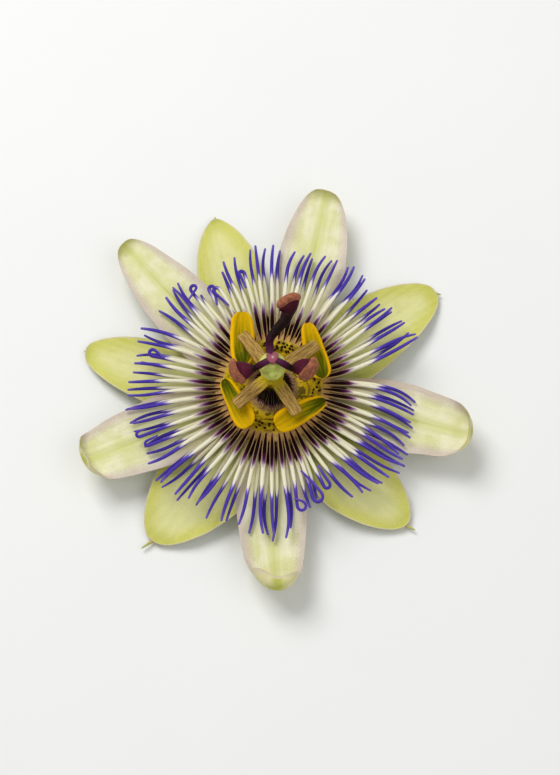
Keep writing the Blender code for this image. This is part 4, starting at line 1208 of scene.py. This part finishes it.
@dataclass
class Style:
    """How a style widens to a fan under its stigma."""

    fan_start: float             # the share of the way along
    fan_power: float             # how late the fan widens
    stigma: tuple                # its length, width, thickness and the droop of its ends
    aside: float                 # how far the stigma is shifted along its own length
    tints: tuple                 # places in the colours at the root, a quarter along, the end
    widths: tuple                # its thickness by the share of the way along


# The first style is stout, and the others are pinched halfway.
PINCHED = Style(0.56, 1.2, (6.2, 3.8, 2.5, 1), 0, (0, 0.25, 1),
                ((0, 1.35), (0.2, 1.5), (0.4, 1.6), (0.52, 1.4), (0.62, 1.8), (0.8, 2.4), (1, 2.8)))
STOUT = Style(0.84, 0.55, (5.9, 4.1, 2.8, 0.4), 0.25, (0, 0.42, 0.63),
              ((0, 1.6), (0.2, 1.8), (0.4, 2), (0.6, 2.3), (0.8, 2.7), (1, 3.4)))


def add_stigma(build, centre, turn, size, draw, material):
    """A thick bean-shaped cap, dimpled a little. Turn's columns are its own axes. Size is its
    length, width, thickness and the droop of its ends."""
    length, width, thickness, droop = size
    stations = np.sin(np.linspace(-1, 1, STIGMA_RINGS) * math.pi / 2)[:, None]
    cosine, sine = (wave(ring_angles(STIGMA_SIDES)) for wave in (np.cos, np.sin))
    full = 0.08 + 0.92 * np.sqrt(np.clip(1 - np.abs(stations) ** 2.4, 0, 1))
    lump = 1 + 0.035 * waves(draw, stations * 5, 2, 0.8, 2.2)
    x = stations * length / 2 + 0 * cosine
    y = cosine * width / 2 * full * lump
    dimple = DIMPLE_DEPTH * np.exp(-(x / DIMPLE_WIDTH) ** 2) * np.clip(sine, 0, 1)
    z = sine * thickness / 2 * full - droop * stations ** 2 - dimple
    build.add_rings(np.stack([x, y, z], axis=-1) @ turn.T + centre, material)


def add_style(build, points, facing, style, draw):
    """A style that widens to a fan under its stigma, and the stigma itself."""
    facing = Vector(facing).normalized()
    turn = np.array(facing.to_track_quat("Z", "Y").to_matrix())
    path = smooth_curve([STYLE_ROOT, *points], STYLE_RINGS) + (0, 0, OVARY_TOP)
    centre = path[-1] + STIGMA_RISE * np.array(facing)
    share = np.linspace(0, 1, STYLE_RINGS)
    round_width = np.interp(share, *zip(*style.widths))[:, None]
    fan = np.clip((share - style.fan_start) / (1 - style.fan_start), 0, 1)[:, None] ** style.fan_power
    path = path + fan ** 2 * 0.6 * np.array(facing)
    # The rings' axes are carried back from the stigma's own, so that the style isn't twisted.
    back, across, third = frames_along(np.vstack([path, centre])[::-1])
    first = turn[:, 0] - back[0] * (turn[:, 0] @ back[0])
    across, third = rotated(across, third, -math.atan2(first @ third[0], first @ across[0]))
    across, third = across[:0:-1], third[:0:-1]
    flip = 1 if third[-1] @ turn[:, 1] > 0 else -1
    angles = ring_angles(STYLE_SIDES)
    rings = path[:, None, :]
    for axis, cap_axis, size, wave in ((across, turn[:, 0], style.stigma[0], np.cos(angles)),
                                       (third, flip * turn[:, 1], style.stigma[1], np.sin(angles))):
        axis = axis * (1 - fan) + fan * cap_axis
        axis /= np.linalg.norm(axis, axis=1)[:, None]
        reach = (round_width * (1 - fan) + fan * FAN_SHARE * size) / 2
        rings = rings + wave[None, :, None] * (axis * reach)[:, None, :]
    build.add_rings(rings, 0, flip > 0, along=np.interp(share, (0, 0.25, 1), style.tints))
    add_stigma(build, centre + style.aside * turn[:, 0], turn, style.stigma, draw, 1)


def add_styles(purple, brown, pink):
    """The star on the ovary's top, the three styles that part from it and their stigmas."""
    def three_points(angle, radius, height):
        off_corner = math.tau / 6 - np.abs(np.mod(angle - math.radians(30), math.tau / 3) - math.tau / 6)
        return radius * (1 + STAR_POINT * np.exp(-(off_corner / 0.5) ** 2))

    build = Build()
    star = rounded(STAR_PROFILE, 26, top=OVARY_TOP)
    build.add_lathe(star, 90, material=2, wave=three_points, along=np.clip(star[:, 0], 0, 1))
    draw = random.Random(STYLE_SEED)
    for (points, facing), style in zip(STYLES, (STOUT, PINCHED, PINCHED)):
        add_style(build, points, facing, style, draw)
    build.piece("styles_and_stigmas", [purple, brown, pink], "styles")


# --- stage --------------------------------------------------------------------------------------

FLOOR_SIZE = 3
FLOOR_GAP = 0.0002               # below the flower's lowest point
SKY_STRENGTH = 0.4
# The soft lights: place, size and power.
LIGHTS = {"key": ((-0.35, 0.42, 0.75), 0.5, 5.6), "fill": ((0.5, -0.3, 0.8), 0.8, 1.8)}


def add_stage():
    """A plain pale floor with a little soft light from everywhere and a key from the far left."""
    mesh = bpy.data.meshes.new("floor")
    x = FLOOR_SIZE / 2
    mesh.from_pydata([(-x, -x, 0), (x, -x, 0), (x, x, 0), (-x, x, 0)], [], [(0, 1, 2, 3)])
    mesh.materials.append(floor_white())
    floor = bpy.data.objects.new("floor", mesh)
    bpy.context.scene.collection.objects.link(floor)
    floor.location.z = min(corner[2] for corner in cad_box) - FLOOR_GAP
    world = bpy.data.worlds.new("studio")
    world.use_nodes = True
    world.node_tree.nodes["Background"].inputs["Color"].default_value = (1, 1, 1, 1)
    world.node_tree.nodes["Background"].inputs["Strength"].default_value = SKY_STRENGTH
    bpy.context.scene.world = world
    for name, (place, size, power) in LIGHTS.items():
        data = bpy.data.lights.new(name, "AREA")
        data.size, data.energy = size, power
        light = bpy.data.objects.new(name, data)
        light.location = place
        light.rotation_euler = (AXIS - Vector(place)).to_track_quat("-Z", "Y").to_euler()
        bpy.context.scene.collection.objects.link(light)


# --- the flower ---------------------------------------------------------------------------------

def main():
    add_camera()
    add_stage()
    bpy.context.scene.view_settings.view_transform = "Standard"
    add_blades("sepal", SEPALS, [sepal_inside(), sepal_outside(), awn_straw()], SEPAL_SEED)
    add_blades("petal", PETALS, [petal_inside(), petal_outside()], PETAL_SEED)
    add_cup(cup_green(), stalk_cut())
    yellow = throat_yellow()
    violet = filament_shade("filament_upper", UPPER_BANDS, UPPER_FLECKS, UPPER_DARK)
    cream = filament_shade("filament_lower", LOWER_BANDS, LOWER_FLECKS, LOWER_DARK)
    add_corona("upper", violet, yellow)
    add_corona("lower", cream, yellow)
    add_short_corona(yellow, dot_purple())
    add_operculum(membrane(), fringe_purple())
    add_column(column_olive())
    back, gold = anther_back(), pollen_gold()
    for number, stamen in enumerate(STAMENS, 1):
        add_anther(number, *stamen, back, gold)
    add_ovary(ovary_green())
    add_styles(style_purple(), stigma_brown(), star_pink())


main()
